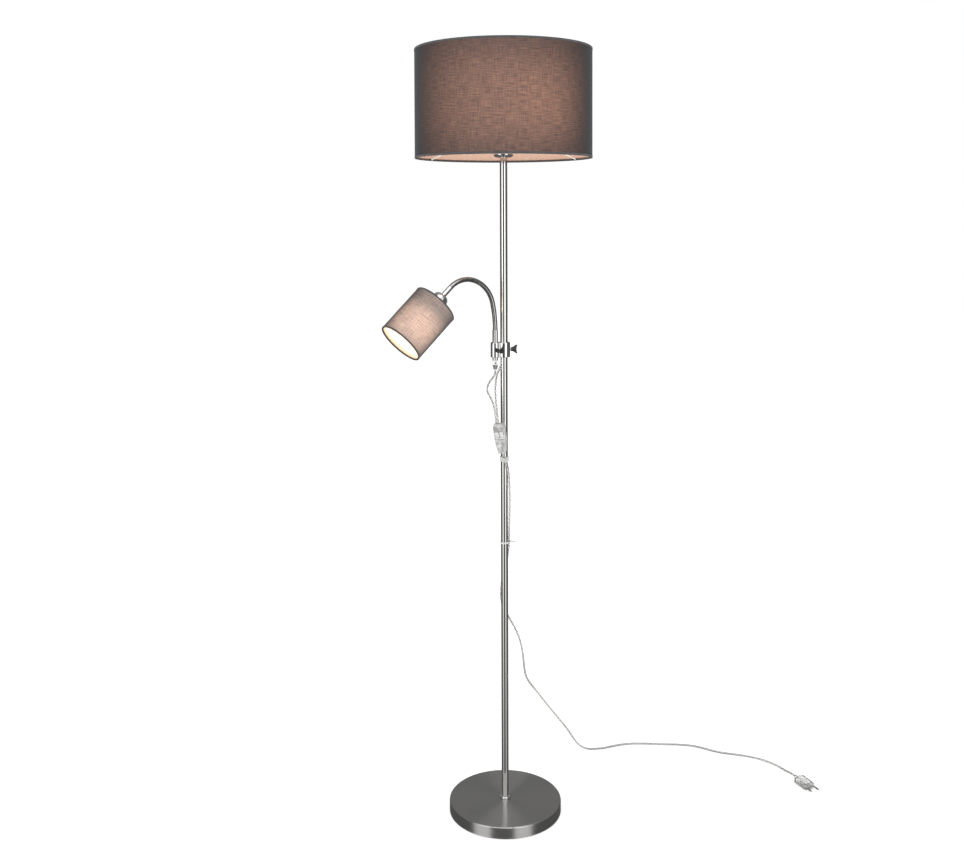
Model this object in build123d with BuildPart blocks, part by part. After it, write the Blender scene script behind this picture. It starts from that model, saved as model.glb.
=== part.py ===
"""Floor lamp with a drum shade and a clamped gooseneck reading light, in millimetres.

The origin is on the floor under the axis of the pole. +Z is up, and the lamp is seen from -Y.
"""
from math import cos, radians, sin, sqrt, tan
import os

from build123d import *

os.makedirs("parts", exist_ok=True)

# ---------------------------------------------------------------- driving dimensions
lamp_height = 1600.0
running_gap = 0.08          # radial, between a turning or sliding piece and its bore
seat_gap = 0.05             # between pieces that are fixed to each other

base_dia = 235.0
base_height = 24.0
cover_wall = 1.2
cover_edge_radius = 2.5
cover_lift = 0.8            # the cover's rim stays off the floor
pad_dia = base_dia - 9.0
pad_thickness = 2.0
nut_pocket_dia = 34.0
nut_pocket_depth = 11.0
nut_flats = 17.0
nut_height = 6.0
washer_dia = 30.0
washer_thickness = 1.6

stud_dia = 10.0
stud_bore = 7.0
stud_reach = 14.0           # how far a stud goes into each pole section
collar_dia = 22.0
collar_height = 5.0
collar_edge_radius = 1.6

pole_dia = 15.0
upper_pole_dia = 15.6
pole_bore = 13.0
lower_joint_z = 500.0
upper_joint_z = 977.0
insert_length = 16.0

shade_dia = 368.0
shade_height = 225.0
liner_wall = 0.6
fabric_wall = 0.6
trim_wall = 0.4
trim_height = 5.0
shade_wire = 2.6
hub_dia = 58.0
hub_thickness = 1.6
hub_rise = 57.0             # spider hub above the shade's lower rim
spoke_angles = (-90, 30, 150)

cup_dia = 41.0
cup_height = 44.0
cup_wall = 1.0
cup_edge_radius = 6.0
cup_rise = 2.4              # cup's floor above the shade's lower rim
holder_dia = 39.4
holder_height = 64.0
holder_mouth_dia = 28.0
holder_mouth_depth = 30.0
shade_ring_height = 8.0
bulb_cap_dia = 26.4
bulb_cap_height = 28.0
bulb_dia = 60.0
bulb_length = 108.0
glass_wall = 1.2
cap_wall = 1.2

clamp_height = 31.0
clamp_turn = 18.0           # degrees that the clamp is turned about the pole
pole_lobe_radius = 12.9
arm_lobe_radius = 9.8
arm_offset = 19.2
clamp_edge_radius = 1.0
screw_dia = 5.0
screw_gap = 0.06
wing_start = 3.0            # wing's foot above the lobe that it locks
wing_length = 13.4
wing_foot_half = 3.6
wing_tip_half = 9.6
wing_notch = 2.2
wing_thickness = 5.2
wing_socket = 8.0
arm_wing_tilt = 25.0

arm_dia = 12.0
arm_bore = 8.4
arm_below_clamp = 6.5
arm_above_clamp = 26.5
hose_dia = 10.4
hose_bore = 7.4
hose_seat_depth = 10.0
grip_dia = 12.0
grip_length = 19.0
grip_tip_dia = 8.4
grip_screw_dia = 3.0
arm_heading = 213.7         # degrees from +X to the side that the gooseneck leans to
lower_bend_radius = 250.0
lower_bend_angle = 13.0     # degrees
middle_bend_radius = 66.0
middle_bend_angle = 65.0    # degrees
upper_bend_radius = 58.0
upper_bend_angle = 54.5     # degrees

ferrule_dia = 10.6
ferrule_length = 23.6
spigot_dia = 6.9            # slim and short, since the hose is curved up to its end
spigot_length = 4.0
head_cup_dia = 32.0
head_cup_top = 24.0         # cup's crown above the reading shade's upper rim
head_cup_height = 34.0
head_cup_edge_radius = 9.0
head_holder_dia = 27.0
head_holder_length = 50.0
head_holder_mouth_dia = 15.4
head_ring_dia = 38.0
head_ring_height = 6.0
head_shade_dia = 96.0
head_shade_length = 110.0
head_wire = 2.0
head_hub_drop = 14.0
head_bulb_cap_dia = 13.9
head_mouth_depth = 26.0
head_bulb_dia = 45.0
head_bulb_length = 52.0

cord_dia = 4.2
core_lead_dia = 4.2
grommet_dia = 8.4
grommet_drop = 45.0         # degrees below level that the grommet points
grommet_z = 938.0
grommet_heading = 200.0
core_bend_radius = 14.0

switch_width = 24.0
switch_length = 62.0
switch_front_depth = 8.6
switch_back_depth = 7.6
switch_wall = 1.6
switch_taper_start = -5.0
switch_foot_width = 16.0
switch_corner_radius = 3.0
switch_edge_radius = 2.2
window_width = 8.9
window_length = 17.7
rocker_width = 8.2
rocker_spacing = 9.8
rocker_tilt = 9.0           # degrees each way from level
rocker_end_radius = 8.7     # about the pivot, so the ends stay clear of the window
rocker_crown = 3.6          # middle of the top above the pivot
rocker_tip = 4.3            # ends of the top above the pivot
rocker_under = 0.8
rocker_pivot_radius = 1.6
rocker_pivot_depth = 5.2    # pivot in front of the switch's parting plane
rocker_centre = 7.0         # pivots above the switch's middle
switch_centre = (-7.4, -17.7, 794.0)
switch_lean = 7.0
switch_turn = 12.0

switch_screw_dia = 3.0
switch_screw_head_dia = 4.4
switch_screw_head = 1.6
switch_screw_reach = 4.0    # into the front half

clip_z = 747.0
clip_height = 9.7
clip_wall = 1.7
tie_z = 570.0
tie_width = 3.6
tie_wall = 1.2

plug_length = 36.0
plug_width = 26.0
plug_thickness = 14.0
plug_tail_length = 10.0
tail_tip_dia = 7.4
tail_root_dia = 11.0
pin_seat = 8.0
pin_dia = 4.0
pin_length = 19.0
pin_root_dia = 3.2
pin_collar = 0.4            # the slim root shows this much outside the plug
pin_spacing = 18.6
plug_reach = 646.8          # from the pole to the right, to the plug's tail
plug_setback = 127.7        # and backwards

# ---------------------------------------------------------------- planes and places
up = Vector(0, 0, 1)
shade_bottom_z = lamp_height - shade_height
cup_z = shade_bottom_z + cup_rise
cup_top_z = cup_z + cup_height
hub_z = shade_bottom_z + hub_rise
holder_top_z = cup_z + cup_wall + holder_height
pole_foot_z = base_height + collar_height
pole_section = Plane.XZ

clamp_plane = Plane(Location((0, 0, upper_joint_z), (0, 0, clamp_turn)))
arm_place = clamp_plane.from_local_coords(Vector(-arm_offset, 0, 0))
arm_top_z = upper_joint_z + clamp_height / 2 + arm_above_clamp
arm_bottom_z = upper_joint_z - clamp_height / 2 - arm_below_clamp
grip_tip_z = arm_bottom_z - grip_length
arm_lean = Vector(cos(radians(arm_heading)), sin(radians(arm_heading)), 0)
arm_section = Plane(origin=(arm_place.X, arm_place.Y, 0), x_dir=arm_lean, z_dir=arm_lean.cross(up))

with BuildLine(arm_section) as hose_route:
    hose_seat = Line((0, arm_top_z - hose_seat_depth), (0, arm_top_z))
    low_arc = JernArc(hose_seat @ 1, hose_seat % 1, lower_bend_radius, -lower_bend_angle)
    middle_arc = JernArc(low_arc @ 1, low_arc % 1, middle_bend_radius, -middle_bend_angle)
    high_arc = JernArc(middle_arc @ 1, middle_arc % 1, upper_bend_radius, -upper_bend_angle)
hose_end, head_axis = high_arc @ 1, high_arc % 1
head_place = hose_end + head_axis * (ferrule_length + head_cup_top)
head_side = arm_section.z_dir
head_section = Plane(origin=head_place, x_dir=head_side, z_dir=head_side.cross(head_axis))


# ---------------------------------------------------------------- shared ways of making a piece
def turned(section, *outline):
    """A piece turned about the upright axis of its section, from (radius, height) points."""
    with BuildPart() as piece:
        with BuildSketch(section):
            with BuildLine():
                Polyline(*outline, close=True)
            make_face()
        revolve(axis=Axis(section.origin, section.y_dir))
    return piece


def sleeve(section, inner_radius, outer_radius, low, high):
    """A plain tube between two heights of its section."""
    return turned(section, (inner_radius, low), (outer_radius, low), (outer_radius, high), (inner_radius, high))


def spun_cup(section, radius, floor, height, wall, edge_radius, hole_radius):
    """A thin round cup with a holed floor and a rounded shoulder."""
    with BuildPart() as cup:
        with BuildSketch(section) as profile:
            with BuildLine():
                Polyline(
                    (hole_radius, floor), (radius, floor), (radius, floor + height),
                    (radius - wall, floor + height), (radius - wall, floor + wall),
                    (hole_radius, floor + wall), close=True)
            make_face()
            fillet(profile.vertices().sort_by_distance((radius, floor))[0], edge_radius)
            fillet(profile.vertices().sort_by_distance((radius - wall, floor + wall))[0], edge_radius - wall)
        revolve(axis=Axis(section.origin, section.y_dir))
    return cup


def shade_trim(section, radius, wall, low, high):
    """Two tapes folded over the lower and upper rims of a shade, on both faces of its wall."""
    with BuildPart() as trims:
        for rim, way in ((low, 1), (high, -1)):
            with BuildSketch(section):
                with BuildLine():
                    Polyline(
                        (radius - wall - trim_wall, rim), (radius + trim_wall, rim),
                        (radius + trim_wall, rim + way * trim_height), (radius, rim + way * trim_height),
                        (radius, rim + way * trim_wall), (radius - wall, rim + way * trim_wall),
                        (radius - wall, rim + way * trim_height),
                        (radius - wall - trim_wall, rim + way * trim_height), close=True)
                make_face()
            revolve(axis=Axis(section.origin, section.y_dir))
    return trims


def wire_ring(section, ring_radius, height, wire):
    """A round wire bent to a closed ring."""
    with BuildPart() as ring:
        with BuildSketch(section):
            with Locations((ring_radius, height)):
                Circle(wire / 2)
        revolve(axis=Axis(section.origin, section.y_dir))
    return ring


def add_spoke(section, start_radius, start_height, end_radius, end_height, wire):
    """A wire from the hub's flange, level at first, then sloping to the ring."""
    level_run = 4 * wire
    with BuildLine(section) as path:
        FilletPolyline(
            (start_radius, start_height), (start_radius + level_run, start_height),
            (end_radius, end_height), radius=level_run)
    with BuildSketch(Plane(origin=path.line @ 0, z_dir=path.line % 0)) as round_section:
        Circle(wire / 2)
    sweep(round_section.sketch, path=path.line)


def bulb_glass(section, neck_radius, radius, low, length):
    """A lamp's thin glass: a neck, open where the cap closes it, that swells to a ball."""
    ball_height = low + length - radius
    with BuildPart() as glass:
        with BuildSketch(section):
            with BuildLine():
                Spline((neck_radius, low), (radius, ball_height), tangents=((0, 1), (0, 1)))
                CenterArc((0, ball_height), radius, 0, 90)
                Line((0, low + length), (0, low + length - glass_wall))
                CenterArc((0, ball_height), radius - glass_wall, 0, 90)
                Spline((neck_radius - glass_wall, low), (radius - glass_wall, ball_height),
                       tangents=((0, 1), (0, 1)))
                Line((neck_radius - glass_wall, low), (neck_radius, low))
            make_face()
        revolve(axis=Axis(section.origin, section.y_dir))
    return glass


def screw_cap(section, radius, taper, low, high):
    """A lamp's hollow cap: a button end, a taper and a plain wall in place of its thread."""
    return turned(
        section,
        (0, low), (radius - taper, low), (radius, low + taper), (radius, high),
        (radius - cap_wall, high), (radius - cap_wall, low + taper + 1), (0, low + taper + 1))


def corner_radii(points):
    """One bend radius for each inner point: 0.45 of the shorter run over the tangent of half the turn."""
    radii = []
    for before, corner, after in zip(points, points[1:], points[2:]):
        run_in, run_out = Vector(*corner) - Vector(*before), Vector(*after) - Vector(*corner)
        half_turn = radians(run_in.get_angle(run_out)) / 2
        radii.append(0.45 * min(run_in.length, run_out.length) / tan(half_turn))
    return radii


def add_cord(points, diameter, mode=Mode.ADD):
    """A round cord along runs joined by tangent arcs."""
    with BuildLine() as path:
        FilletPolyline(*points, radius=corner_radii(points))
    with BuildSketch(Plane(origin=path.line @ 0, z_dir=path.line % 0)) as round_section:
        Circle(diameter / 2)
    sweep(round_section.sketch, path=path.line, mode=mode)
    return sum(edge.length for edge in path.line.edges())


def cord(name, points, diameter):
    """A cord as a piece of its own, with its length and bends printed."""
    with BuildPart() as piece:
        length = add_cord(points, diameter)
    section_area = 3.14159265 * diameter**2 / 4
    print(f"{name}: {length:.0f} mm, volume over section times length "
          f"{piece.part.volume / (section_area * length):.4f}, bend radii",
          " ".join(f"{radius:.0f}" for radius in corner_radii(points)))
    return piece


# ---------------------------------------------------------------- base
with BuildPart() as base_pad:
    with BuildSketch():
        Circle(pad_dia / 2)
    extrude(amount=pad_thickness)

weight_radius = base_dia / 2 - cover_wall - 6 * seat_gap
with BuildPart() as base_weight:
    with BuildSketch(Plane.XY.offset(pad_thickness)):
        Circle(weight_radius)
    extrude(amount=base_height - cover_wall - pad_thickness)
    chamfer(base_weight.faces().sort_by(Axis.Z)[-1].edges(), cover_edge_radius)
    with BuildSketch(Plane.XY.offset(pad_thickness)):
        Circle(nut_pocket_dia / 2)
    extrude(amount=nut_pocket_depth, mode=Mode.SUBTRACT)
    Hole(stud_dia / 2 + 4 * seat_gap)

with BuildPart() as base_cover:
    with BuildSketch(pole_section) as cover_profile:
        with BuildLine():
            Polyline(
                (stud_dia / 2 + seat_gap, base_height), (base_dia / 2, base_height),
                (base_dia / 2, cover_lift), (base_dia / 2 - cover_wall, cover_lift),
                (base_dia / 2 - cover_wall, base_height - cover_wall),
                (stud_dia / 2 + seat_gap, base_height - cover_wall), close=True)
        make_face()
        outer_corner = (base_dia / 2, base_height)
        inner_corner = (base_dia / 2 - cover_wall, base_height - cover_wall)
        fillet(cover_profile.vertices().sort_by_distance(outer_corner)[0], cover_edge_radius)
        fillet(cover_profile.vertices().sort_by_distance(inner_corner)[0], cover_edge_radius - cover_wall)
    revolve(axis=Axis.Z)

washer_top_z = pad_thickness + nut_pocket_depth
base_washer = sleeve(
    pole_section, stud_dia / 2 + seat_gap, washer_dia / 2, washer_top_z - washer_thickness, washer_top_z)

nut_top_z = washer_top_z - washer_thickness
with BuildPart() as base_nut:
    with BuildSketch(Plane.XY.offset(nut_top_z - nut_height)):
        RegularPolygon(nut_flats / 2, 6, major_radius=False)
        Circle(stud_dia / 2 + seat_gap, mode=Mode.SUBTRACT)
    extrude(amount=nut_height)

foot_stud = sleeve(pole_section, stud_bore / 2, stud_dia / 2, nut_top_z - nut_height - 1, pole_foot_z + stud_reach)

with BuildPart() as base_collar:
    with BuildSketch(Plane.XY.offset(base_height)):
        Circle(collar_dia / 2)
        Circle(stud_dia / 2 + seat_gap, mode=Mode.SUBTRACT)
    extrude(amount=collar_height)
    fillet(base_collar.edges().filter_by(GeomType.CIRCLE).group_by(SortBy.RADIUS)[-1], collar_edge_radius)

# ---------------------------------------------------------------- pole
grommet_level = Vector(cos(radians(grommet_heading)), sin(radians(grommet_heading)), 0)
grommet_axis = grommet_level * cos(radians(grommet_drop)) - up * sin(radians(grommet_drop))
grommet_seat = grommet_level * (pole_dia / 2) + up * grommet_z
grommet_neck_dia = grommet_dia - 2.4
grommet_proud = 3.4
grommet_inside = 4.6
grommet_plane = Plane(origin=grommet_seat, z_dir=grommet_axis)
grommet_mouth = grommet_seat + grommet_axis * grommet_proud

pole_lower = sleeve(pole_section, pole_bore / 2, pole_dia / 2, pole_foot_z, lower_joint_z)
with BuildPart() as pole_middle:
    with BuildSketch(Plane.XY.offset(lower_joint_z)):
        Circle(pole_dia / 2)
        Circle(pole_bore / 2, mode=Mode.SUBTRACT)
    extrude(amount=upper_joint_z - lower_joint_z)
    with BuildSketch(grommet_plane.offset(-grommet_inside - 1)):
        Circle(grommet_neck_dia / 2 + seat_gap)
    extrude(amount=grommet_proud + grommet_inside + 1, mode=Mode.SUBTRACT)
pole_upper = sleeve(pole_section, pole_bore / 2, upper_pole_dia / 2, upper_joint_z, cup_z)

with BuildPart() as pole_grommet:
    with BuildSketch(grommet_plane.offset(-grommet_inside)):
        Circle(grommet_dia / 2)
    extrude(amount=grommet_proud + grommet_inside)
    with BuildSketch(Plane.XY.offset(grommet_z - pole_dia)):
        Circle(pole_dia / 2 + seat_gap)
    extrude(amount=2 * pole_dia, mode=Mode.SUBTRACT)
    with BuildSketch(grommet_plane.offset(-grommet_inside)):
        Circle(grommet_neck_dia / 2)
    extrude(amount=grommet_proud)
    with BuildSketch(grommet_plane.offset(-grommet_inside)):
        Circle(core_lead_dia / 2 + seat_gap)
    extrude(amount=grommet_proud + grommet_inside, mode=Mode.SUBTRACT)

insert_inset = 1.0
insert_places = [
    pole_foot_z + insert_inset,
    lower_joint_z - insert_inset - insert_length, lower_joint_z + insert_inset,
    upper_joint_z - insert_inset - insert_length, upper_joint_z + insert_inset,
    cup_z - insert_inset - insert_length,
]
with BuildPart() as pole_inserts:
    for insert_z in insert_places:
        with BuildSketch(Plane.XY.offset(insert_z)):
            Circle(pole_bore / 2 - seat_gap)
            Circle(stud_dia / 2 + seat_gap, mode=Mode.SUBTRACT)
        extrude(amount=insert_length)

with BuildPart() as pole_studs:
    for joint_z in (lower_joint_z, upper_joint_z):
        with BuildSketch(Plane.XY.offset(joint_z - stud_reach)):
            Circle(stud_dia / 2)
            Circle(stud_bore / 2, mode=Mode.SUBTRACT)
        extrude(amount=2 * stud_reach)

# ---------------------------------------------------------------- lamp holder on the pole
cup_hole_radius = stud_dia / 2 + seat_gap
holder_cup = spun_cup(pole_section, cup_dia / 2, cup_z, cup_height, cup_wall, cup_edge_radius, cup_hole_radius)

holder_socket_depth = 9.0
holder_floor_z = cup_z + cup_wall
cup_stud = sleeve(
    pole_section, stud_bore / 2, stud_dia / 2, cup_z - stud_reach, holder_floor_z + holder_socket_depth)

holder_body_radius = cup_dia / 2 - cup_wall - 2.4
holder_shoulder_radius = cup_dia / 2 + 1.2
mouth_z = holder_top_z - holder_mouth_depth
lamp_holder = turned(
    pole_section,
    (stud_dia / 2 + seat_gap, holder_floor_z), (cup_dia / 2 - cup_edge_radius - 1, holder_floor_z),
    (holder_body_radius, holder_floor_z + cup_edge_radius), (holder_body_radius, cup_top_z + seat_gap),
    (holder_shoulder_radius, cup_top_z + seat_gap), (holder_shoulder_radius, hub_z - seat_gap),
    (holder_dia / 2, hub_z - seat_gap), (holder_dia / 2, holder_top_z),
    (holder_mouth_dia / 2, holder_top_z), (holder_mouth_dia / 2, mouth_z),
    (stud_bore / 2, mouth_z), (stud_bore / 2, holder_floor_z + holder_socket_depth + seat_gap),
    (stud_dia / 2 + seat_gap, holder_floor_z + holder_socket_depth + seat_gap))

ring_low_z = hub_z + hub_thickness + seat_gap
with BuildPart() as shade_ring:
    with BuildSketch(Plane.XY.offset(ring_low_z)):
        Circle(hub_dia / 2 - 1)
        Circle(holder_dia / 2 + seat_gap, mode=Mode.SUBTRACT)
    extrude(amount=shade_ring_height)
    grip_edges = shade_ring.edges().filter_by(GeomType.CIRCLE).group_by(SortBy.RADIUS)[-1]
    chamfer(grip_edges, 1)
    with PolarLocations(hub_dia / 2 - 1, 24):
        Cylinder(0.9, 2 * (ring_low_z + shade_ring_height), mode=Mode.SUBTRACT)

bulb_cap_z = mouth_z + 1
bulb_cap = screw_cap(pole_section, bulb_cap_dia / 2, 6, bulb_cap_z, bulb_cap_z + bulb_cap_height)
bulb = bulb_glass(
    pole_section, bulb_cap_dia / 2, bulb_dia / 2, bulb_cap_z + bulb_cap_height, bulb_length - bulb_cap_height)

# ---------------------------------------------------------------- drum shade
shade_wall = liner_wall + fabric_wall
shade_radius = shade_dia / 2
skin_low_z = shade_bottom_z + trim_wall + seat_gap
skin_high_z = lamp_height - trim_wall - seat_gap
shade_liner = sleeve(
    pole_section, shade_radius - shade_wall, shade_radius - fabric_wall - seat_gap, skin_low_z, skin_high_z)
shade_fabric = sleeve(
    pole_section, shade_radius - fabric_wall, shade_radius, skin_low_z, skin_high_z)
shade_trims = shade_trim(
    pole_section, shade_radius + seat_gap, shade_wall + 2 * seat_gap, shade_bottom_z, lamp_height)

ring_wire_radius = shade_radius - shade_wall - trim_wall - 2 * seat_gap - shade_wire / 2
low_wire_z = shade_bottom_z + trim_wall + shade_wire / 2
high_wire_z = lamp_height - trim_wall - shade_wire / 2
with BuildPart() as shade_frame:
    with BuildSketch(Plane.XY.offset(hub_z)):
        Circle(hub_dia / 2)
        Circle(holder_dia / 2 + 2 * seat_gap, mode=Mode.SUBTRACT)
    extrude(amount=hub_thickness)
    with BuildSketch(pole_section):
        with Locations((ring_wire_radius, low_wire_z)):
            Circle(shade_wire / 2)
    revolve(axis=Axis.Z)
    for angle in spoke_angles:
        level = Vector(cos(radians(angle)), sin(radians(angle)), 0)
        add_spoke(
            Plane(origin=(0, 0, 0), x_dir=level, z_dir=level.cross(up)),
            hub_dia / 2 - shade_wire, hub_z, ring_wire_radius, low_wire_z, shade_wire)
shade_top_wire = wire_ring(pole_section, ring_wire_radius, high_wire_z, shade_wire)

# ---------------------------------------------------------------- clamp and its two wing screws
with BuildPart() as clamp_body:
    with BuildSketch(clamp_plane.offset(-clamp_height / 2)):
        Circle(pole_lobe_radius)
        with Locations((-arm_offset, 0)):
            Circle(arm_lobe_radius)
    extrude(amount=clamp_height)
    grooves = clamp_body.edges().filter_by(Axis.Z).filter_by(
        lambda edge: abs(clamp_plane.to_local_coords(edge.center()).Y) > 1)
    fillet(grooves, 1.2)
    rims = clamp_body.faces().sort_by(Axis.Z)
    fillet(rims[0].edges() + rims[-1].edges(), clamp_edge_radius)
    with BuildSketch(clamp_plane.offset(-clamp_height / 2)):
        Circle(upper_pole_dia / 2 + running_gap)
        with Locations((-arm_offset, 0)):
            Circle(arm_dia / 2 + running_gap)
    extrude(amount=clamp_height, mode=Mode.SUBTRACT)
    pole_screw_plane = Plane(origin=clamp_plane.origin, x_dir=up, z_dir=clamp_plane.x_dir)
    arm_screw_plane = Plane(origin=arm_place, x_dir=up, z_dir=-clamp_plane.y_dir)
    for screw_plane, lobe_radius in (
            (pole_screw_plane, pole_lobe_radius), (arm_screw_plane, arm_lobe_radius)):
        with BuildSketch(screw_plane):
            Circle(screw_dia / 2 + screw_gap)
        extrude(amount=lobe_radius + 1, mode=Mode.SUBTRACT)


def screw_shank(screw_plane, tip_radius, lobe_radius):
    """The steel screw, from its tip by the tube that it locks to its end in the wing."""
    end = lobe_radius + wing_start + wing_socket
    with BuildPart() as shank:
        with BuildSketch(screw_plane.offset(tip_radius)):
            Circle(screw_dia / 2)
        extrude(amount=end - tip_radius)
        chamfer(shank.faces().sort_by(Axis(screw_plane.origin, screw_plane.z_dir))[0].edges(), 0.6)
    return shank


def screw_wing(screw_plane, lobe_radius, tilt):
    """The moulded wing: a fan with a hollowed outer edge on a round boss."""
    foot = lobe_radius + wing_start
    tip = foot + wing_length
    across = screw_plane.x_dir * cos(radians(tilt)) + screw_plane.y_dir * sin(radians(tilt))
    turned_plane = Plane(origin=screw_plane.origin, x_dir=across, z_dir=screw_plane.z_dir)
    fan_plane = Plane(origin=turned_plane.origin, x_dir=turned_plane.x_dir, z_dir=-turned_plane.y_dir)
    with BuildPart() as wing:
        with BuildSketch(fan_plane) as fan:
            with BuildLine():
                Line((-wing_foot_half, foot), (wing_foot_half, foot))
                SagittaArc((wing_foot_half, foot), (wing_tip_half, tip - 2.4), 0.9)
                Line((wing_tip_half, tip - 2.4), (wing_tip_half - 1.4, tip))
                ThreePointArc((wing_tip_half - 1.4, tip), (0, tip - wing_notch), (1.4 - wing_tip_half, tip))
                Line((1.4 - wing_tip_half, tip), (-wing_tip_half, tip - 2.4))
                SagittaArc((-wing_tip_half, tip - 2.4), (-wing_foot_half, foot), 0.9)
            make_face()
            tips = fan.vertices().group_by(Axis.Y)[1:]
            fillet([corner for level in tips for corner in level], 0.9)
        extrude(amount=wing_thickness / 2, both=True)
        chamfer(wing.faces().filter_by(fan_plane).edges(), 0.8)
        with BuildSketch(turned_plane.offset(foot)):
            Circle(wing_foot_half + 0.9)
        extrude(amount=wing_socket)
        chamfer(wing.edges().filter_by(GeomType.CIRCLE).sort_by(
            Axis(turned_plane.origin, turned_plane.z_dir))[0], 0.5)
        with BuildSketch(turned_plane.offset(foot)):
            Circle(screw_dia / 2 + screw_gap)
        extrude(amount=wing_socket + screw_gap, mode=Mode.SUBTRACT)
    return wing


pole_screw = screw_shank(pole_screw_plane, upper_pole_dia / 2 + running_gap, pole_lobe_radius)
pole_screw_wing = screw_wing(pole_screw_plane, pole_lobe_radius, 0)
arm_screw = screw_shank(arm_screw_plane, arm_dia / 2 + running_gap, arm_lobe_radius)
arm_screw_wing = screw_wing(arm_screw_plane, arm_lobe_radius, 90 - arm_wing_tilt)

# ---------------------------------------------------------------- reading arm
hose_seat_radius = hose_dia / 2 + seat_gap
arm_tube = turned(
    arm_section,
    (arm_bore / 2, arm_bottom_z), (arm_dia / 2, arm_bottom_z), (arm_dia / 2, arm_top_z - 0.6),
    (hose_seat_radius + 0.1, arm_top_z), (hose_seat_radius, arm_top_z),
    (hose_seat_radius, arm_top_z - hose_seat_depth - seat_gap),
    (arm_bore / 2, arm_top_z - hose_seat_depth - seat_gap))

grip_neck_length = 7.0
grip_straight = 10.0
grip_bore_radius = core_lead_dia / 2 + 2 * seat_gap
grip_screw_z = arm_bottom_z - 5.0
grip_screw_plane = Plane(origin=(arm_place.X, arm_place.Y, grip_screw_z), x_dir=up, z_dir=(0, -1, 0))
grip_screw_tip = grip_bore_radius + 0.2
grip_screw_end = grip_dia / 2 + 0.3
with BuildPart() as cord_grip:
    with BuildSketch(arm_section):
        with BuildLine():
            Polyline(
                (grip_bore_radius, arm_bottom_z + grip_neck_length),
                (arm_bore / 2 - seat_gap, arm_bottom_z + grip_neck_length),
                (arm_bore / 2 - seat_gap, arm_bottom_z), (grip_dia / 2, arm_bottom_z - seat_gap),
                (grip_dia / 2, arm_bottom_z - grip_straight), (grip_tip_dia / 2, grip_tip_z),
                (grip_bore_radius, grip_tip_z), close=True)
        make_face()
    revolve(axis=Axis(arm_section.origin, up))
    with BuildSketch(grip_screw_plane):
        Circle(grip_screw_dia / 2 + seat_gap)
    extrude(amount=grip_dia, mode=Mode.SUBTRACT)
with BuildPart() as grip_screw:
    with BuildSketch(grip_screw_plane.offset(grip_screw_tip)):
        Circle(grip_screw_dia / 2)
    extrude(amount=grip_screw_end - grip_screw_tip)
    with BuildSketch(grip_screw_plane.offset(grip_screw_end - 0.8)):
        Rectangle(grip_screw_dia, 0.6)
    extrude(amount=0.8, mode=Mode.SUBTRACT)

with BuildPart() as gooseneck_hose:
    with BuildSketch(Plane(origin=hose_seat @ 0, z_dir=up)):
        Circle(hose_dia / 2)
        Circle(hose_bore / 2, mode=Mode.SUBTRACT)
    sweep(path=hose_route.line)

# ---------------------------------------------------------------- reading head
ferrule_low = -head_cup_top - ferrule_length
thread_reach = 7.0
lead_bore_radius = core_lead_dia / 2 + 4 * seat_gap
head_ferrule = turned(
    head_section,
    (lead_bore_radius, ferrule_low - spigot_length), (spigot_dia / 2, ferrule_low - spigot_length),
    (spigot_dia / 2, ferrule_low), (ferrule_dia / 2, ferrule_low), (ferrule_dia / 2, -head_cup_top),
    (ferrule_dia / 2 - 0.8, -head_cup_top), (ferrule_dia / 2 - 0.8, thread_reach - head_cup_top),
    (lead_bore_radius, thread_reach - head_cup_top))
head_cup = spun_cup(
    head_section, head_cup_dia / 2, -head_cup_top, head_cup_height, cup_wall, head_cup_edge_radius,
    ferrule_dia / 2 - 0.8 + seat_gap)

head_holder_low = thread_reach - head_cup_top + seat_gap
head_holder_high = head_holder_low + head_holder_length
head_cup_rim = head_cup_height - head_cup_top
head_mouth_floor = head_holder_high - head_mouth_depth
head_holder = turned(
    head_section,
    (0, head_holder_low), (head_holder_dia / 2 - 5, head_holder_low),
    (head_holder_dia / 2, head_holder_low + 7), (head_holder_dia / 2, head_cup_rim + seat_gap),
    (head_cup_dia / 2, head_cup_rim + seat_gap), (head_cup_dia / 2, head_hub_drop - seat_gap),
    (head_holder_dia / 2, head_hub_drop - seat_gap), (head_holder_dia / 2, head_holder_high),
    (head_holder_mouth_dia / 2, head_holder_high), (head_holder_mouth_dia / 2, head_mouth_floor),
    (0, head_mouth_floor))

with BuildPart() as gooseneck_core:
    with BuildLine(arm_section) as lead_route:
        Line((0, grip_tip_z), (0, arm_top_z - hose_seat_depth))
        add(hose_route.line)
        Line(hose_end, hose_end + head_axis * (ferrule_length + thread_reach))
    with BuildSketch(Plane(origin=(arm_place.X, arm_place.Y, grip_tip_z), z_dir=up)):
        Circle(core_lead_dia / 2)
    sweep(path=lead_route.line)

head_ring_low = head_hub_drop + hub_thickness + seat_gap
head_ring = turned(
    head_section,
    (head_holder_dia / 2 + seat_gap, head_ring_low), (head_ring_dia / 2, head_ring_low),
    (head_ring_dia / 2, head_ring_low + head_ring_height - 1),
    (head_ring_dia / 2 - 1, head_ring_low + head_ring_height),
    (head_holder_dia / 2 + seat_gap, head_ring_low + head_ring_height))

head_radius = head_shade_dia / 2
head_skin_high = head_shade_length - trim_wall - seat_gap
head_liner = sleeve(
    head_section, head_radius - shade_wall, head_radius - fabric_wall - seat_gap,
    trim_wall + seat_gap, head_skin_high)
head_fabric = sleeve(head_section, head_radius - fabric_wall, head_radius, trim_wall + seat_gap, head_skin_high)
head_trims = shade_trim(
    head_section, head_radius + seat_gap, shade_wall + 2 * seat_gap, 0, head_shade_length)

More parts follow.
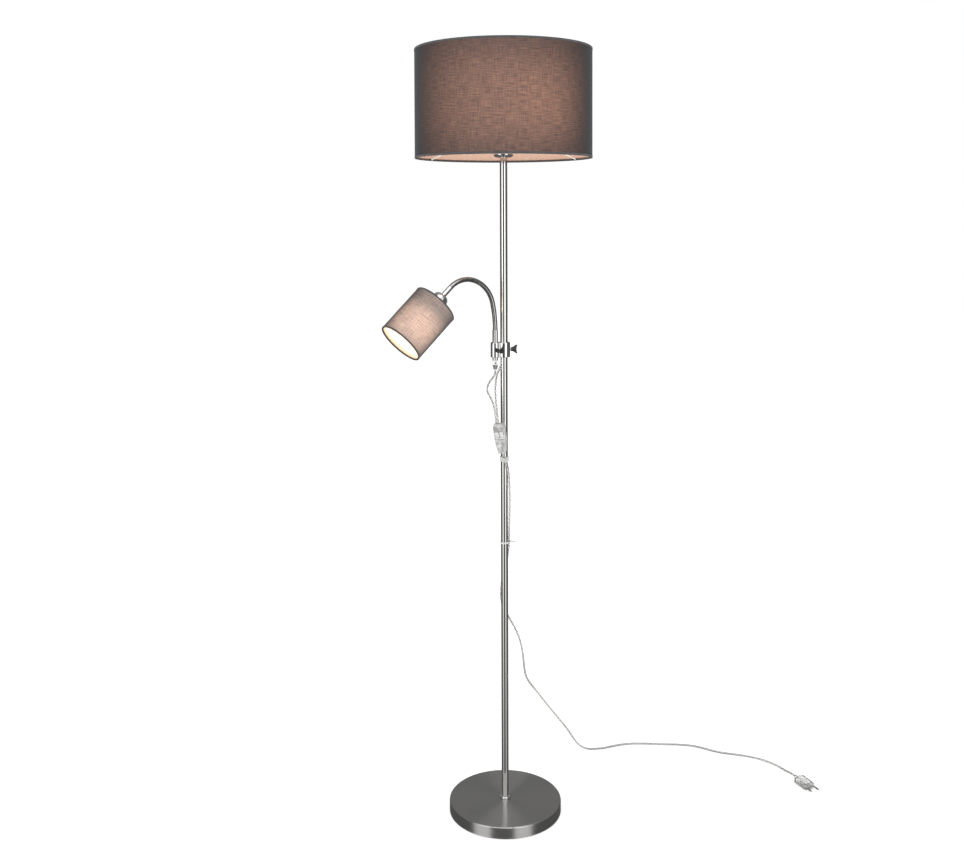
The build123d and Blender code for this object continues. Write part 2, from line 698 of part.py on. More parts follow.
head_wire_radius = head_radius - shade_wall - trim_wall - 2 * seat_gap - head_wire / 2
head_top_wire = trim_wall + head_wire / 2
with BuildPart() as head_frame:
    with BuildSketch(head_section):
        with BuildLine():
            Polyline(
                (head_holder_dia / 2 + seat_gap, head_hub_drop), (head_ring_dia / 2 + 1, head_hub_drop),
                (head_ring_dia / 2 + 1, head_hub_drop + hub_thickness),
                (head_holder_dia / 2 + seat_gap, head_hub_drop + hub_thickness), close=True)
        make_face()
        with Locations((head_wire_radius, head_top_wire)):
            Circle(head_wire / 2)
    revolve(axis=Axis(head_place, head_axis))
    for angle in spoke_angles:
        spoke_side = head_section.x_dir * cos(radians(angle)) + head_section.z_dir * sin(radians(angle))
        add_spoke(
            Plane(origin=head_place, x_dir=spoke_side, z_dir=spoke_side.cross(head_axis)),
            head_ring_dia / 2, head_hub_drop, head_wire_radius, head_top_wire, head_wire)
head_rim_wire = wire_ring(
    head_section, head_wire_radius, head_shade_length - trim_wall - head_wire / 2, head_wire)

head_cap_low = head_mouth_floor + 1
head_cap_high = head_holder_high + 1
head_bulb_cap = screw_cap(head_section, head_bulb_cap_dia / 2, 3.5, head_cap_low, head_cap_high)
head_bulb = bulb_glass(head_section, head_bulb_cap_dia / 2, head_bulb_dia / 2, head_cap_high, head_bulb_length)

# ---------------------------------------------------------------- in-line switch with two rockers
switch_plane = Plane(Location(switch_centre, (0, -switch_lean, -switch_turn)))
switch_face = Plane(origin=switch_plane.origin, x_dir=switch_plane.x_dir, z_dir=-switch_plane.y_dir)
switch_foot = -switch_length / 2
switch_head = switch_length / 2
lead_entries = (-5.4, -0.9)
screw_spots = ((0, switch_foot + 12), (switch_width / 2 - 4.6, switch_head - 4.6))
terminal_width, terminal_length, terminal_height = 3.6, 5.2, 4.4
terminal_spots = ((-5.4, 21.6), (-0.9, 21.6), (0, switch_foot + 6.4))
post_radius = 2.6


def switch_outline(inset):
    """The housing's outline, square at the lead end and drawn in at the cord end."""
    with BuildSketch() as outline:
        Polygon(
            (-switch_width / 2, switch_head), (-switch_width / 2, switch_taper_start),
            (-switch_foot_width / 2, switch_foot), (switch_foot_width / 2, switch_foot),
            (switch_width / 2, switch_taper_start), (switch_width / 2, switch_head), align=None)
        fillet(outline.vertices(), switch_corner_radius)
        if inset:
            offset(amount=-inset, mode=Mode.REPLACE)
    return outline.sketch


def cut_cord_ways():
    """Round openings for the two leads at the top and the cord at the foot."""
    way = cord_dia / 2 + seat_gap
    for x in lead_entries:
        with BuildSketch(switch_plane.offset(switch_head - 3 * switch_wall)) as entry:
            with Locations((x, 0)):
                Circle(way)
        extrude(entry.sketch, amount=4 * switch_wall, mode=Mode.SUBTRACT)
    with BuildSketch(switch_plane.offset(switch_foot - switch_wall)) as outlet:
        Circle(way)
    extrude(outlet.sketch, amount=4 * switch_wall, mode=Mode.SUBTRACT)


with BuildPart() as switch_front:
    with BuildSketch(switch_face):
        add(switch_outline(0))
    extrude(amount=switch_front_depth)
    front_rim = switch_front.faces().sort_by(Axis(switch_face.origin, switch_face.z_dir))[-1]
    fillet(front_rim.edges(), switch_edge_radius)
    with BuildSketch(switch_face):
        add(switch_outline(switch_wall))
    extrude(amount=switch_front_depth - switch_wall, mode=Mode.SUBTRACT)
    with BuildSketch(switch_face):
        with Locations((-rocker_spacing / 2, rocker_centre), (rocker_spacing / 2, rocker_centre)):
            Rectangle(window_width, window_length)
    extrude(amount=switch_front_depth + 1, mode=Mode.SUBTRACT)
    with BuildSketch(switch_face):
        with Locations(*screw_spots):
            Circle(post_radius)
    extrude(amount=switch_front_depth - switch_wall / 2)
    with BuildSketch(switch_face):
        with Locations(*screw_spots):
            Circle(switch_screw_dia / 2 + seat_gap)
    extrude(amount=switch_screw_reach + seat_gap, mode=Mode.SUBTRACT)
    cut_cord_ways()

with BuildPart() as switch_back:
    with BuildSketch(switch_face):
        add(switch_outline(0))
    extrude(amount=-switch_back_depth)
    back_rim = switch_back.faces().sort_by(Axis(switch_face.origin, switch_face.z_dir))[0]
    fillet(back_rim.edges(), switch_edge_radius)
    with BuildSketch(switch_face):
        add(switch_outline(switch_wall))
    extrude(amount=-(switch_back_depth - switch_wall), mode=Mode.SUBTRACT)
    back_floor = switch_face.offset(-switch_back_depth + switch_wall / 2)
    with BuildSketch(back_floor):
        with Locations((-rocker_spacing / 2, rocker_centre), (rocker_spacing / 2, rocker_centre)):
            Rectangle(rocker_width - 2, 3 * rocker_pivot_radius)
    extrude(amount=switch_back_depth - switch_wall / 2 + rocker_pivot_depth - 0.3)
    with BuildSketch(Plane(
            origin=switch_face.from_local_coords(Vector(-switch_width, rocker_centre, rocker_pivot_depth)),
            z_dir=switch_face.x_dir)):
        Circle(rocker_pivot_radius + screw_gap)
    extrude(amount=2 * switch_width, mode=Mode.SUBTRACT)
    with BuildSketch(back_floor):
        with Locations(*terminal_spots):
            Rectangle(terminal_width, terminal_length)
    extrude(amount=switch_back_depth - switch_wall / 2 - terminal_height / 2)
    with BuildSketch(back_floor):
        with Locations(*screw_spots):
            Circle(post_radius)
    extrude(amount=switch_back_depth - switch_wall / 2)
    with BuildSketch(switch_face):
        with Locations(*screw_spots):
            Circle(switch_screw_dia / 2 + seat_gap)
    extrude(amount=-switch_back_depth, mode=Mode.SUBTRACT)
    with BuildSketch(switch_face.offset(-switch_back_depth)):
        with Locations(*screw_spots):
            Circle(switch_screw_head_dia / 2 + seat_gap)
    extrude(amount=switch_screw_head + seat_gap, mode=Mode.SUBTRACT)
    cut_cord_ways()

with BuildPart() as switch_screws:
    with BuildSketch(switch_face.offset(-switch_back_depth + seat_gap)):
        with Locations(*screw_spots):
            Circle(switch_screw_head_dia / 2)
    extrude(amount=switch_screw_head)
    with BuildSketch(switch_face.offset(-switch_back_depth + seat_gap)):
        with Locations(*screw_spots):
            Circle(switch_screw_dia / 2)
    extrude(amount=switch_back_depth + switch_screw_reach - seat_gap)
    with BuildSketch(switch_face.offset(-switch_back_depth + seat_gap)):
        with Locations(*screw_spots):
            Rectangle(switch_screw_head_dia, 0.6)
    extrude(amount=0.7, mode=Mode.SUBTRACT)

with BuildPart() as switch_terminals:
    with BuildSketch(switch_face.offset(-terminal_height / 2)):
        with Locations(*terminal_spots):
            Rectangle(terminal_width, terminal_length)
    extrude(amount=terminal_height)


def switch_rocker(x):
    """A rocker that tips about its round pivot, set at rest on its tilted side."""
    pivot = switch_face.from_local_coords(Vector(x, rocker_centre, rocker_pivot_depth))
    along = switch_face.y_dir * cos(radians(rocker_tilt)) + switch_face.z_dir * sin(radians(rocker_tilt))
    rocker_plane = Plane(origin=pivot, x_dir=along, z_dir=switch_face.x_dir)
    tip_x = sqrt(rocker_end_radius**2 - rocker_tip**2)
    middle_height = (rocker_tip + rocker_under) / 2
    middle_x = sqrt(rocker_end_radius**2 - middle_height**2)
    under_x = sqrt(rocker_end_radius**2 - rocker_under**2)
    with BuildPart() as rocker:
        with BuildSketch(rocker_plane) as profile:
            with BuildLine():
                ThreePointArc((tip_x, rocker_tip), (middle_x, middle_height), (under_x, rocker_under))
                Line((under_x, rocker_under), (-under_x, rocker_under))
                ThreePointArc((-under_x, rocker_under), (-middle_x, middle_height), (-tip_x, rocker_tip))
                Polyline((-tip_x, rocker_tip), (0, rocker_crown), (tip_x, rocker_tip))
            make_face()
            for end_x in (-tip_x, tip_x):
                fillet(profile.vertices().sort_by_distance((end_x, rocker_tip))[0], 0.8)
            Circle(rocker_pivot_radius)
        extrude(amount=rocker_width / 2, both=True)
    return rocker


rocker_left = switch_rocker(-rocker_spacing / 2)
rocker_right = switch_rocker(rocker_spacing / 2)

# ---------------------------------------------------------------- cords
plug_back = Vector(plug_reach, plug_setback, plug_thickness / 2)
plug_heading = Vector(0.394, -0.919, 0).normalized()


def on_switch(x, z):
    """A point on the switch's middle plane, as a tuple."""
    return tuple(switch_plane.from_local_coords(Vector(x, 0, z)))


grip_mouth = (arm_place.X, arm_place.Y, grip_tip_z)
arm_lead_points = [
    grip_mouth,
    (arm_place.X, arm_place.Y, grip_tip_z - 6.5),
    (-20.7, -6.9, 923.0),
    (-25.2, -8.5, 917.0),
    (-30.2, -10.3, 911.0),
    (-34.2, -12.0, 903.5),
    (-35.6, -13.2, 895.5),
    (-33.6, -14.4, 888.0),
    (-28.6, -15.4, 879.5),
    (-23.8, -16.0, 870.0),
    (-20.4, -16.4, 858.0),
    (-18.4, -16.6, 844.0),
    on_switch(lead_entries[0], switch_head + 8),
    on_switch(lead_entries[0], switch_head - 2 * switch_wall),
]
pole_lead_points = [
    tuple(grommet_mouth),
    tuple(grommet_mouth + grommet_axis * 5),
    (-16.0, -7.0, 921.0),
    (-17.9, -10.0, 906.0),
    (-18.2, -13.0, 889.0),
    (-17.2, -15.6, 871.0),
    (-14.6, -17.5, 852.0),
    on_switch(lead_entries[1], switch_head + 8),
    on_switch(lead_entries[1], switch_head - 2 * switch_wall),
]
supply_points = [
    on_switch(0, switch_foot + 2 * switch_wall),
    on_switch(0, switch_foot - 6.5),
    (2.0, -14.2, 747.0),
    (6.2, -10.9, 736.0),
    (8.6, -8.4, 722.0),
    (10.3, -5.6, 700.0),
    (11.1, -3.0, 672.0),
    (11.0, -0.8, 640.0),
    (10.3, 1.4, 606.0),
    (9.5, 3.4, 572.0),
    (7.6, 7.0, 546.0),
    (3.4, 10.0, 521.0),
    (-3.0, 10.4, 497.0),
    (-8.0, 7.4, 475.0),
    (-8.8, 5.8, 455.0),
    (-6.0, 9.2, 436.0),
    (1.0, 12.6, 420.0),
    (9.5, 14.2, 404.0),
    (21.0, 15.0, 384.0),
    (32.0, 17.0, 358.0),
    (38.5, 24.0, 325.0),
    (41.0, 43.0, 288.0),
    (46.0, 72.0, 250.0),
    (66.0, 106.0, 211.0),
    (94.0, 145.0, 160.0),
    (122.0, 188.0, 108.0),
    (144.0, 217.0, 70.0),
    (158.0, 237.0, 40.0),
    (170.0, 250.0, 19.0),
    (181.0, 257.5, 7.5),
    (194.0, 260.0, 2.1),
    (211.5, 260.3, 2.1),
    (234.0, 265.0, 2.1),
    (260.0, 277.0, 2.1),
    (289.0, 287.0, 2.1),
    (323.0, 288.5, 2.1),
    (367.0, 286.0, 2.1),
    (406.0, 284.5, 2.1),
    (440.0, 280.5, 2.1),
    (468.0, 266.0, 2.1),
    (497.0, 247.5, 2.1),
    (530.0, 239.0, 2.1),
    (562.0, 229.5, 2.1),
    (590.0, 215.5, 2.1),
    (611.0, 197.0, 2.1),
    (625.0, 178.0, 2.1),
    (633.0, 160.5, 3.4),
    (638.7, 147.0, 6.0),
    (644.0, 134.2, 7.0),
    tuple(plug_back + plug_heading * plug_tail_length),
]
arm_lead = cord("arm_lead", arm_lead_points, core_lead_dia)
pole_lead = cord("pole_lead", pole_lead_points, core_lead_dia)
supply_cord = cord("supply_cord", supply_points, cord_dia)

lead_elbow = grommet_seat - grommet_axis * ((pole_dia / 2) / cos(radians(grommet_drop)))
with BuildPart() as pole_core:
    with BuildLine() as core_route:
        FilletPolyline(
            grommet_mouth, lead_elbow, (0, 0, mouth_z - 4), radius=core_bend_radius)
    with BuildSketch(Plane(origin=grommet_mouth, z_dir=-grommet_axis)):
        Circle(core_lead_dia / 2)
    sweep(path=core_route.line)

# ---------------------------------------------------------------- clip and tie that hold the cord
clip_low = clip_z - clip_height / 2
clip_lobe = Vector(2.0, -14.0)
with BuildPart() as cord_clip:
    add_cord(supply_points[:7], cord_dia + 2 * clip_wall)
    with BuildSketch(Plane.XY.offset(clip_low)):
        Rectangle(6 * pole_dia, 6 * pole_dia)
    extrude(amount=clip_height, mode=Mode.INTERSECT)
    with BuildSketch(Plane.XY.offset(clip_low)):
        Circle(pole_dia / 2 + clip_wall)
        with BuildLine():
            Line((0, 0), (clip_lobe.X, clip_lobe.Y))
        trace(line_width=2 * clip_wall + 1)
    extrude(amount=clip_height)
    with BuildSketch(Plane.XY.offset(clip_low)):
        Circle(pole_dia / 2 + seat_gap)
    extrude(amount=clip_height, mode=Mode.SUBTRACT)
    add_cord(supply_points[:7], cord_dia + 2 * seat_gap, Mode.SUBTRACT)

tie_low = tie_z - tie_width / 2
tie_cord = Vector(9.45, 3.52)
tie_out = tie_cord.normalized()
tie_head_place = tie_cord + tie_out * (cord_dia / 2 + tie_wall + 1.2)
with BuildPart() as cable_tie:
    with BuildSketch(Plane.XY.offset(tie_low)):
        with BuildLine():
            CenterArc((0, 0), pole_dia / 2 + seat_gap + tie_wall, 0, 360)
            CenterArc((tie_cord.X, tie_cord.Y), cord_dia / 2 + 3 * seat_gap + tie_wall, 0, 360)
        make_hull()
        with Locations(Location((tie_head_place.X, tie_head_place.Y, 0), (0, 0, 20))):
            Rectangle(4.0, 5.0)
    extrude(amount=tie_width)
    with BuildSketch(Plane.XY.offset(tie_low)):
        with BuildLine():
            CenterArc((0, 0), pole_dia / 2 + seat_gap, 0, 360)
            CenterArc((tie_cord.X, tie_cord.Y), cord_dia / 2 + 3 * seat_gap, 0, 360)
        make_hull()
    extrude(amount=tie_width, mode=Mode.SUBTRACT)
    add_cord(supply_points[7:14], cord_dia + 2 * seat_gap, Mode.SUBTRACT)
    with BuildSketch(Plane.XY.offset(tie_low + 0.4)):
        with Locations(Location((tie_head_place.X + 5.0, tie_head_place.Y - 0.6, 0), (0, 0, -12))):
            Rectangle(9.0, 1.1)
    extrude(amount=tie_width - 0.8)

# ---------------------------------------------------------------- plug
plug_plane = Plane(origin=plug_back, x_dir=up.cross(plug_heading), z_dir=plug_heading)
plug_face = plug_plane.offset(plug_tail_length)
with BuildPart() as plug_body:
    with BuildSketch(plug_plane):
        Circle(tail_tip_dia / 2)
    with BuildSketch(plug_face):
        Circle(tail_root_dia / 2)
    loft()
    with BuildSketch(plug_face):
        RectangleRounded(plug_width, plug_thickness, 4)
    extrude(amount=plug_length)
    body_faces = plug_body.faces().sort_by(Axis(plug_plane.origin, plug_plane.z_dir))
    fillet(body_faces[-1].edges(), 1.5)
    for groove in range(3):
        with BuildSketch(plug_plane.offset(2.0 + 2.6 * groove)):
            Circle(tail_root_dia)
            Circle(tail_tip_dia / 2 - 0.2 + 0.3 * groove, mode=Mode.SUBTRACT)
        extrude(amount=1.0, mode=Mode.SUBTRACT)
    with BuildSketch(plug_plane):
        Circle(cord_dia / 2 + seat_gap)
    extrude(amount=plug_tail_length + seat_gap, mode=Mode.SUBTRACT)
    with BuildSketch(plug_face.offset(plug_length - pin_seat)):
        with Locations((-pin_spacing / 2, 0), (pin_spacing / 2, 0)):
            Circle(pin_root_dia / 2 + seat_gap)
    extrude(amount=pin_seat, mode=Mode.SUBTRACT)

with BuildPart() as plug_pins:
    with BuildSketch(plug_face.offset(plug_length - pin_seat)):
        with Locations((-pin_spacing / 2, 0), (pin_spacing / 2, 0)):
            Circle(pin_root_dia / 2)
    extrude(amount=pin_seat + pin_collar)
    with BuildSketch(plug_face.offset(plug_length + pin_collar)):
        with Locations((-pin_spacing / 2, 0), (pin_spacing / 2, 0)):
            Circle(pin_dia / 2)
    extrude(amount=pin_length - pin_collar)
    pin_ends = plug_pins.faces().filter_by(GeomType.PLANE).group_by(
        Axis(plug_plane.origin, plug_plane.z_dir))[-1]
    fillet(pin_ends.edges(), 1.2)

# ---------------------------------------------------------------- labels and STEP files
pieces = {
    "base_pad": base_pad,
    "base_weight": base_weight,
    "base_cover": base_cover,
    "base_washer": base_washer,
    "base_nut": base_nut,
    "foot_stud": foot_stud,
    "base_collar": base_collar,
    "pole_lower": pole_lower,
    "pole_middle": pole_middle,
    "pole_upper": pole_upper,
    "pole_inserts": pole_inserts,
    "pole_studs": pole_studs,
    "pole_grommet": pole_grommet,
    "pole_core": pole_core,
    "cup_stud": cup_stud,
    "holder_cup": holder_cup,
    "lamp_holder": lamp_holder,
    "shade_ring": shade_ring,
    "shade_frame": shade_frame,
    "shade_top_wire": shade_top_wire,
    "shade_liner": shade_liner,
    "shade_fabric": shade_fabric,
    "shade_trims": shade_trims,
    "bulb": bulb,
    "bulb_cap": bulb_cap,
    "clamp_body": clamp_body,
    "pole_screw": pole_screw,
    "pole_screw_wing": pole_screw_wing,
    "arm_screw": arm_screw,
    "arm_screw_wing": arm_screw_wing,
    "arm_tube": arm_tube,
    "cord_grip": cord_grip,
    "grip_screw": grip_screw,
    "gooseneck_hose": gooseneck_hose,
    "gooseneck_core": gooseneck_core,
    "head_ferrule": head_ferrule,
    "head_cup": head_cup,
    "head_holder": head_holder,
    "head_ring": head_ring,
    "head_frame": head_frame,
    "head_rim_wire": head_rim_wire,
    "head_liner": head_liner,
    "head_fabric": head_fabric,
    "head_trims": head_trims,
    "head_bulb": head_bulb,
    "head_bulb_cap": head_bulb_cap,
    "switch_front": switch_front,
    "switch_back": switch_back,
    "switch_screws": switch_screws,
    "switch_terminals": switch_terminals,
    "rocker_left": rocker_left,
    "rocker_right": rocker_right,
    "arm_lead": arm_lead,
    "pole_lead": pole_lead,
    "supply_cord": supply_cord,
    "cord_clip": cord_clip,
    "cable_tie": cable_tie,
    "plug_body": plug_body,
    "plug_pins": plug_pins,
}
for name, piece in pieces.items():
    piece.part.label = name
    export_step(piece.part, f"parts/{name}.step")
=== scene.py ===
# %% [markdown]
# A floor lamp with a drum shade and a small reading light on a gooseneck.
# The metal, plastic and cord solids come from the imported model, which stays fixed, and this lesson
# dresses them: it adds the camera, the light, the cords, the cloth of the two shades and the fine
# parts, and gives every solid the finish of the real one. All lengths are in metres, the origin is on
# the floor under the pole, and the lamp is seen from -Y.

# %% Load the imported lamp
import math

import bpy
from mathutils import Matrix, Vector


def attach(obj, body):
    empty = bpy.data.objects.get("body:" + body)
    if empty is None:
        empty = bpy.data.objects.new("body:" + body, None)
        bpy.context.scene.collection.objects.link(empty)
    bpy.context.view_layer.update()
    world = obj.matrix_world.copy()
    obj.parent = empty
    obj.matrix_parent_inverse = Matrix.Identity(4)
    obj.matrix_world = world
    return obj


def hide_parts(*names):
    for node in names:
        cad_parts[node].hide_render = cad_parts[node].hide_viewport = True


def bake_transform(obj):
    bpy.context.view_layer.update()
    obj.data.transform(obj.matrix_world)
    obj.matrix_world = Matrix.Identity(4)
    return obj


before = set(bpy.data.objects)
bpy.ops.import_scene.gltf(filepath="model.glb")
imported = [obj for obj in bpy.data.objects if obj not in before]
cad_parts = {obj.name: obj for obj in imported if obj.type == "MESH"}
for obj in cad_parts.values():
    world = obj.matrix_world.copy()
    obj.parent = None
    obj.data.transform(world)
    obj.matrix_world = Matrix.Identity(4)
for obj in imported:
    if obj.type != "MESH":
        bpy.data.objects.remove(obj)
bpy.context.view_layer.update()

# %% [markdown]
# The camera stands 2.3 metres away, lower than the eyes, and is tipped down by two degrees.
# The picture is taller below the horizon than above it, so the lens is shifted down, as a view camera's
# is, and the pole stays upright. The lamp stands a little to the right of the middle.

# %% Camera
camera_data = bpy.data.cameras.new("camera")
camera_data.sensor_width = 36
camera_data.lens = 41.28
camera_data.shift_y = -0.1859
camera = bpy.data.objects.new("camera", camera_data)
bpy.context.scene.collection.objects.link(camera)
camera.location = (0, -2.302, 1.257)
camera.rotation_euler = (math.radians(87.96), math.radians(0.2), math.radians(1.12))
bpy.context.scene.camera = camera
print("camera at", tuple(camera.location), "lens", camera_data.lens)

# %% [markdown]
# A product studio is a pale room with tall white softboxes. Polished tube shows it plainly: a cylinder
# squeezes the whole room into narrow upright bands. Two softboxes stand in front of the lamp, one on
# each side, and a third lies above them; the rest is grey, so the pole gets its two white stripes.
# The room is drawn in the world shader, by direction. Only glossy rays see the softboxes; the camera
# sees plain white and matt surfaces get an even light, which also keeps the picture free of noise. The
# floor is a white panel lit from below, as in product pictures without a shadow.

# %% Studio
def link_math(tree, operation, first, second=None):
    """A Math node; the inputs are sockets or numbers."""
    node = tree.nodes.new("ShaderNodeMath")
    node.operation = operation
    for socket, value in zip(node.inputs, (first, second)):
        if value is None:
            continue
        if isinstance(value, (int, float)):
            socket.default_value = value
        else:
            tree.links.new(value, socket)
    return node.outputs[0]


def smooth_range(tree, value, low, high, out_low=0.0, out_high=1.0):
    """Map a value smoothly from one range to another."""
    node = tree.nodes.new("ShaderNodeMapRange")
    node.interpolation_type = "SMOOTHSTEP"
    tree.links.new(value, node.inputs["Value"])
    for name, number in (("From Min", low), ("From Max", high), ("To Min", out_low), ("To Max", out_high)):
        node.inputs[name].default_value = number
    return node.outputs[0]


world = bpy.data.worlds.new("studio")
bpy.context.scene.world = world
world.use_nodes = True
world.cycles.sampling_method = "NONE"
room = world.node_tree
room.nodes.clear()
direction = room.nodes.new("ShaderNodeTexCoord").outputs["Generated"]
split = room.nodes.new("ShaderNodeSeparateXYZ")
room.links.new(direction, split.inputs[0])
across, depth, height = split.outputs
around = link_math(room, "ARCTAN2", across, link_math(room, "MULTIPLY", depth, -1))
from_front = link_math(room, "ABSOLUTE", link_math(room, "ADD", around, math.radians(5)))
in_front = smooth_range(room, from_front, math.radians(62), math.radians(54))
clear_of_middle = smooth_range(room, from_front, math.radians(21), math.radians(26))
softbox = link_math(room, "MULTIPLY", in_front, clear_of_middle)
upright = link_math(
    room, "MULTIPLY",
    smooth_range(room, height, -0.60, 0.0, 0.10, 1.0),
    smooth_range(room, height, 0.24, 0.12, 0.3, 1.0))
softbox = link_math(room, "MULTIPLY", softbox, upright)
top_light = link_math(
    room, "MULTIPLY", smooth_range(room, height, 0.54, 0.62), smooth_range(room, height, 0.97, 0.85))
softbox = link_math(room, "MAXIMUM", softbox, link_math(room, "MULTIPLY", in_front, top_light))
behind = smooth_range(room, from_front, math.radians(20), math.radians(70), 0.08, 0.12)
overhead = smooth_range(room, height, 0.1, 0.45, 0.0, 0.14)
grey = link_math(room, "ADD", behind, overhead)
glossy_room = link_math(room, "ADD", link_math(room, "MULTIPLY", softbox, 2.1), grey)
rays = room.nodes.new("ShaderNodeLightPath")
pick_glossy = room.nodes.new("ShaderNodeMix")
pick_glossy.data_type = "FLOAT"
pick_glossy.inputs[2].default_value = 1.0
room.links.new(rays.outputs["Is Glossy Ray"], pick_glossy.inputs[0])
room.links.new(glossy_room, pick_glossy.inputs[3])
background = room.nodes.new("ShaderNodeBackground")
background.inputs["Color"].default_value = (1, 1, 1, 1)
room.links.new(pick_glossy.outputs[0], background.inputs["Strength"])
room.links.new(background.outputs[0], room.nodes.new("ShaderNodeOutputWorld").inputs["Surface"])
bpy.context.scene.view_settings.view_transform = "Standard"

bpy.ops.mesh.primitive_plane_add(size=24, location=(0, 0, -0.0004))
floor = bpy.context.object
floor.name = "floor"
floor_paint = bpy.data.materials.new("pale_floor")
floor_paint.use_nodes = True
floor_shader = floor_paint.node_tree.nodes["Principled BSDF"]
floor_shader.inputs["Base Color"].default_value = (0.8, 0.8, 0.8, 1)
floor_shader.inputs["Emission Color"].default_value = (1, 1, 1, 1)
floor_shader.inputs["Emission Strength"].default_value = 0.4
floor_shader.inputs["Roughness"].default_value = 0.9
floor_shader.inputs["Specular IOR Level"].default_value = 0.0
floor.data.materials.append(floor_paint)
floor.visible_glossy = False


def softlight(name, place, target, size, power):
    """A large soft lamp that doesn't show in the metal."""
    data = bpy.data.lights.new(name, "AREA")
    data.shape = "RECTANGLE"
    data.size, data.size_y = size
    data.energy = power
    lamp = bpy.data.objects.new(name, data)
    bpy.context.scene.collection.objects.link(lamp)
    lamp.location = place
    lamp.rotation_euler = (Vector(target) - Vector(place)).to_track_quat("-Z", "Y").to_euler()
    lamp.visible_glossy = False
    lamp.visible_camera = False
    return lamp


softlight("key_light", (-1.6, -2.2, 2.2), (0, 0, 0.9), (0.9, 1.8), 14)
softlight("fill_light", (2.0, -1.8, 1.6), (0, 0, 0.9), (0.9, 1.8), 7)
print("studio ready")

# %% [markdown]
# The lamp has clear lamp cord: a soft transparent sheath with two stranded conductors in it.
# Each cord is one smooth spline through the places where the real one turns. The sheath is the
# spline's own round bevel. Two thin conductors twist inside, and they follow points read back from the
# same spline, so they stay in the middle of the sheath wherever it goes.

# %% Routes of the cords
cord_diameter = 0.0042
arm_exit = (-0.01826, -0.00593, 0.9360)
pole_exit = (-0.0093, -0.0034, 0.9356)
supply_exit = (-0.0040, -0.0177, 0.7664)
arm_lead_route = [
    arm_exit, (-0.01826, -0.00593, 0.9295), (-0.0207, -0.0069, 0.9230),
    (-0.0252, -0.0085, 0.9170), (-0.0302, -0.0103, 0.9110), (-0.0342, -0.0120, 0.9035),
    (-0.0356, -0.0132, 0.8955), (-0.0336, -0.0144, 0.8880), (-0.0286, -0.0154, 0.8795),
    (-0.0238, -0.0160, 0.8700), (-0.0204, -0.0164, 0.8580), (-0.0184, -0.0166, 0.8440),
    (-0.0174, -0.0166, 0.8321), (-0.0160, -0.0166, 0.8209),
]
pole_lead_route = [
    pole_exit, (-0.0126, -0.0046, 0.9321), (-0.0160, -0.0070, 0.9210),
    (-0.0179, -0.0100, 0.9060), (-0.0182, -0.0130, 0.8890), (-0.0172, -0.0156, 0.8710),
    (-0.0146, -0.0175, 0.8520), (-0.0130, -0.0175, 0.8326), (-0.0117, -0.0175, 0.8215),
]
supply_route = [
    supply_exit, (-0.0028, -0.0177, 0.7568), (0.0020, -0.0142, 0.7470),
    (0.0062, -0.0109, 0.7360), (0.0086, -0.0084, 0.7220), (0.0103, -0.0056, 0.7000),
    (0.0111, -0.0030, 0.6720), (0.0110, -0.0008, 0.6400), (0.0103, 0.0014, 0.6060),
    (0.0095, 0.0034, 0.5720), (0.0076, 0.0070, 0.5460), (0.0034, 0.0100, 0.5210),
    (-0.0030, 0.0104, 0.4970), (-0.0080, 0.0074, 0.4750), (-0.0088, 0.0058, 0.4550),
    (-0.0060, 0.0092, 0.4360), (0.0010, 0.0126, 0.4200), (0.0095, 0.0142, 0.4040),
    (0.0210, 0.0150, 0.3840), (0.0320, 0.0170, 0.3580), (0.0385, 0.0240, 0.3250),
    (0.0410, 0.0430, 0.2880), (0.0460, 0.0720, 0.2500), (0.0660, 0.1060, 0.2110),
    (0.0940, 0.1450, 0.1600), (0.1220, 0.1880, 0.1080), (0.1440, 0.2170, 0.0700),
    (0.1580, 0.2370, 0.0400), (0.1700, 0.2500, 0.0190), (0.1810, 0.2575, 0.0075),
    (0.1940, 0.2600, 0.0021), (0.2115, 0.2603, 0.0021), (0.2340, 0.2650, 0.0021),
    (0.2600, 0.2770, 0.0021), (0.2890, 0.2870, 0.0021), (0.3230, 0.2885, 0.0021),
    (0.3670, 0.2860, 0.0021), (0.4060, 0.2845, 0.0021), (0.4400, 0.2805, 0.0021),
    (0.4680, 0.2660, 0.0021), (0.4970, 0.2475, 0.0021), (0.5300, 0.2390, 0.0021),
    (0.5620, 0.2295, 0.0021), (0.5900, 0.2155, 0.0021), (0.6110, 0.1970, 0.0021),
    (0.6250, 0.1780, 0.0021), (0.6330, 0.1605, 0.0034), (0.6387, 0.1470, 0.0060),
    (0.6440, 0.1342, 0.0070), (0.6507, 0.1185, 0.0070),
]


def cord_curve(name, route, diameter):
    """A round cord along a smooth spline with the route's points as its control points."""
    curve = bpy.data.curves.new(name, "CURVE")
    curve.dimensions = "3D"
    spline = curve.splines.new("NURBS")
    spline.points.add(len(route) - 1)
    for point, place in zip(spline.points, route):
        point.co = (*place, 1)
    spline.order_u = 3
    spline.use_endpoint_u = True
    spline.resolution_u = 10
    curve.bevel_depth = diameter / 2
    curve.bevel_resolution = 4
    cord = bpy.data.objects.new(name, curve)
    bpy.context.scene.collection.objects.link(cord)
    return cord


def points_on(cord):
    """Points along the cord's own spline, read from its curve with the bevel taken off."""
    plain = cord.data.copy()
    plain.bevel_depth = 0
    holder = bpy.data.objects.new("holder", plain)
    bpy.context.scene.collection.objects.link(holder)
    line = bpy.data.meshes.new_from_object(holder)
    points = [vertex.co.copy() for vertex in line.vertices]
    bpy.data.objects.remove(holder)
    bpy.data.meshes.remove(line)
    bpy.data.curves.remove(plain)
    return points


def run_length(points):
    """The length along a row of points."""
    return sum((b - a).length for a, b in zip(points, points[1:]))


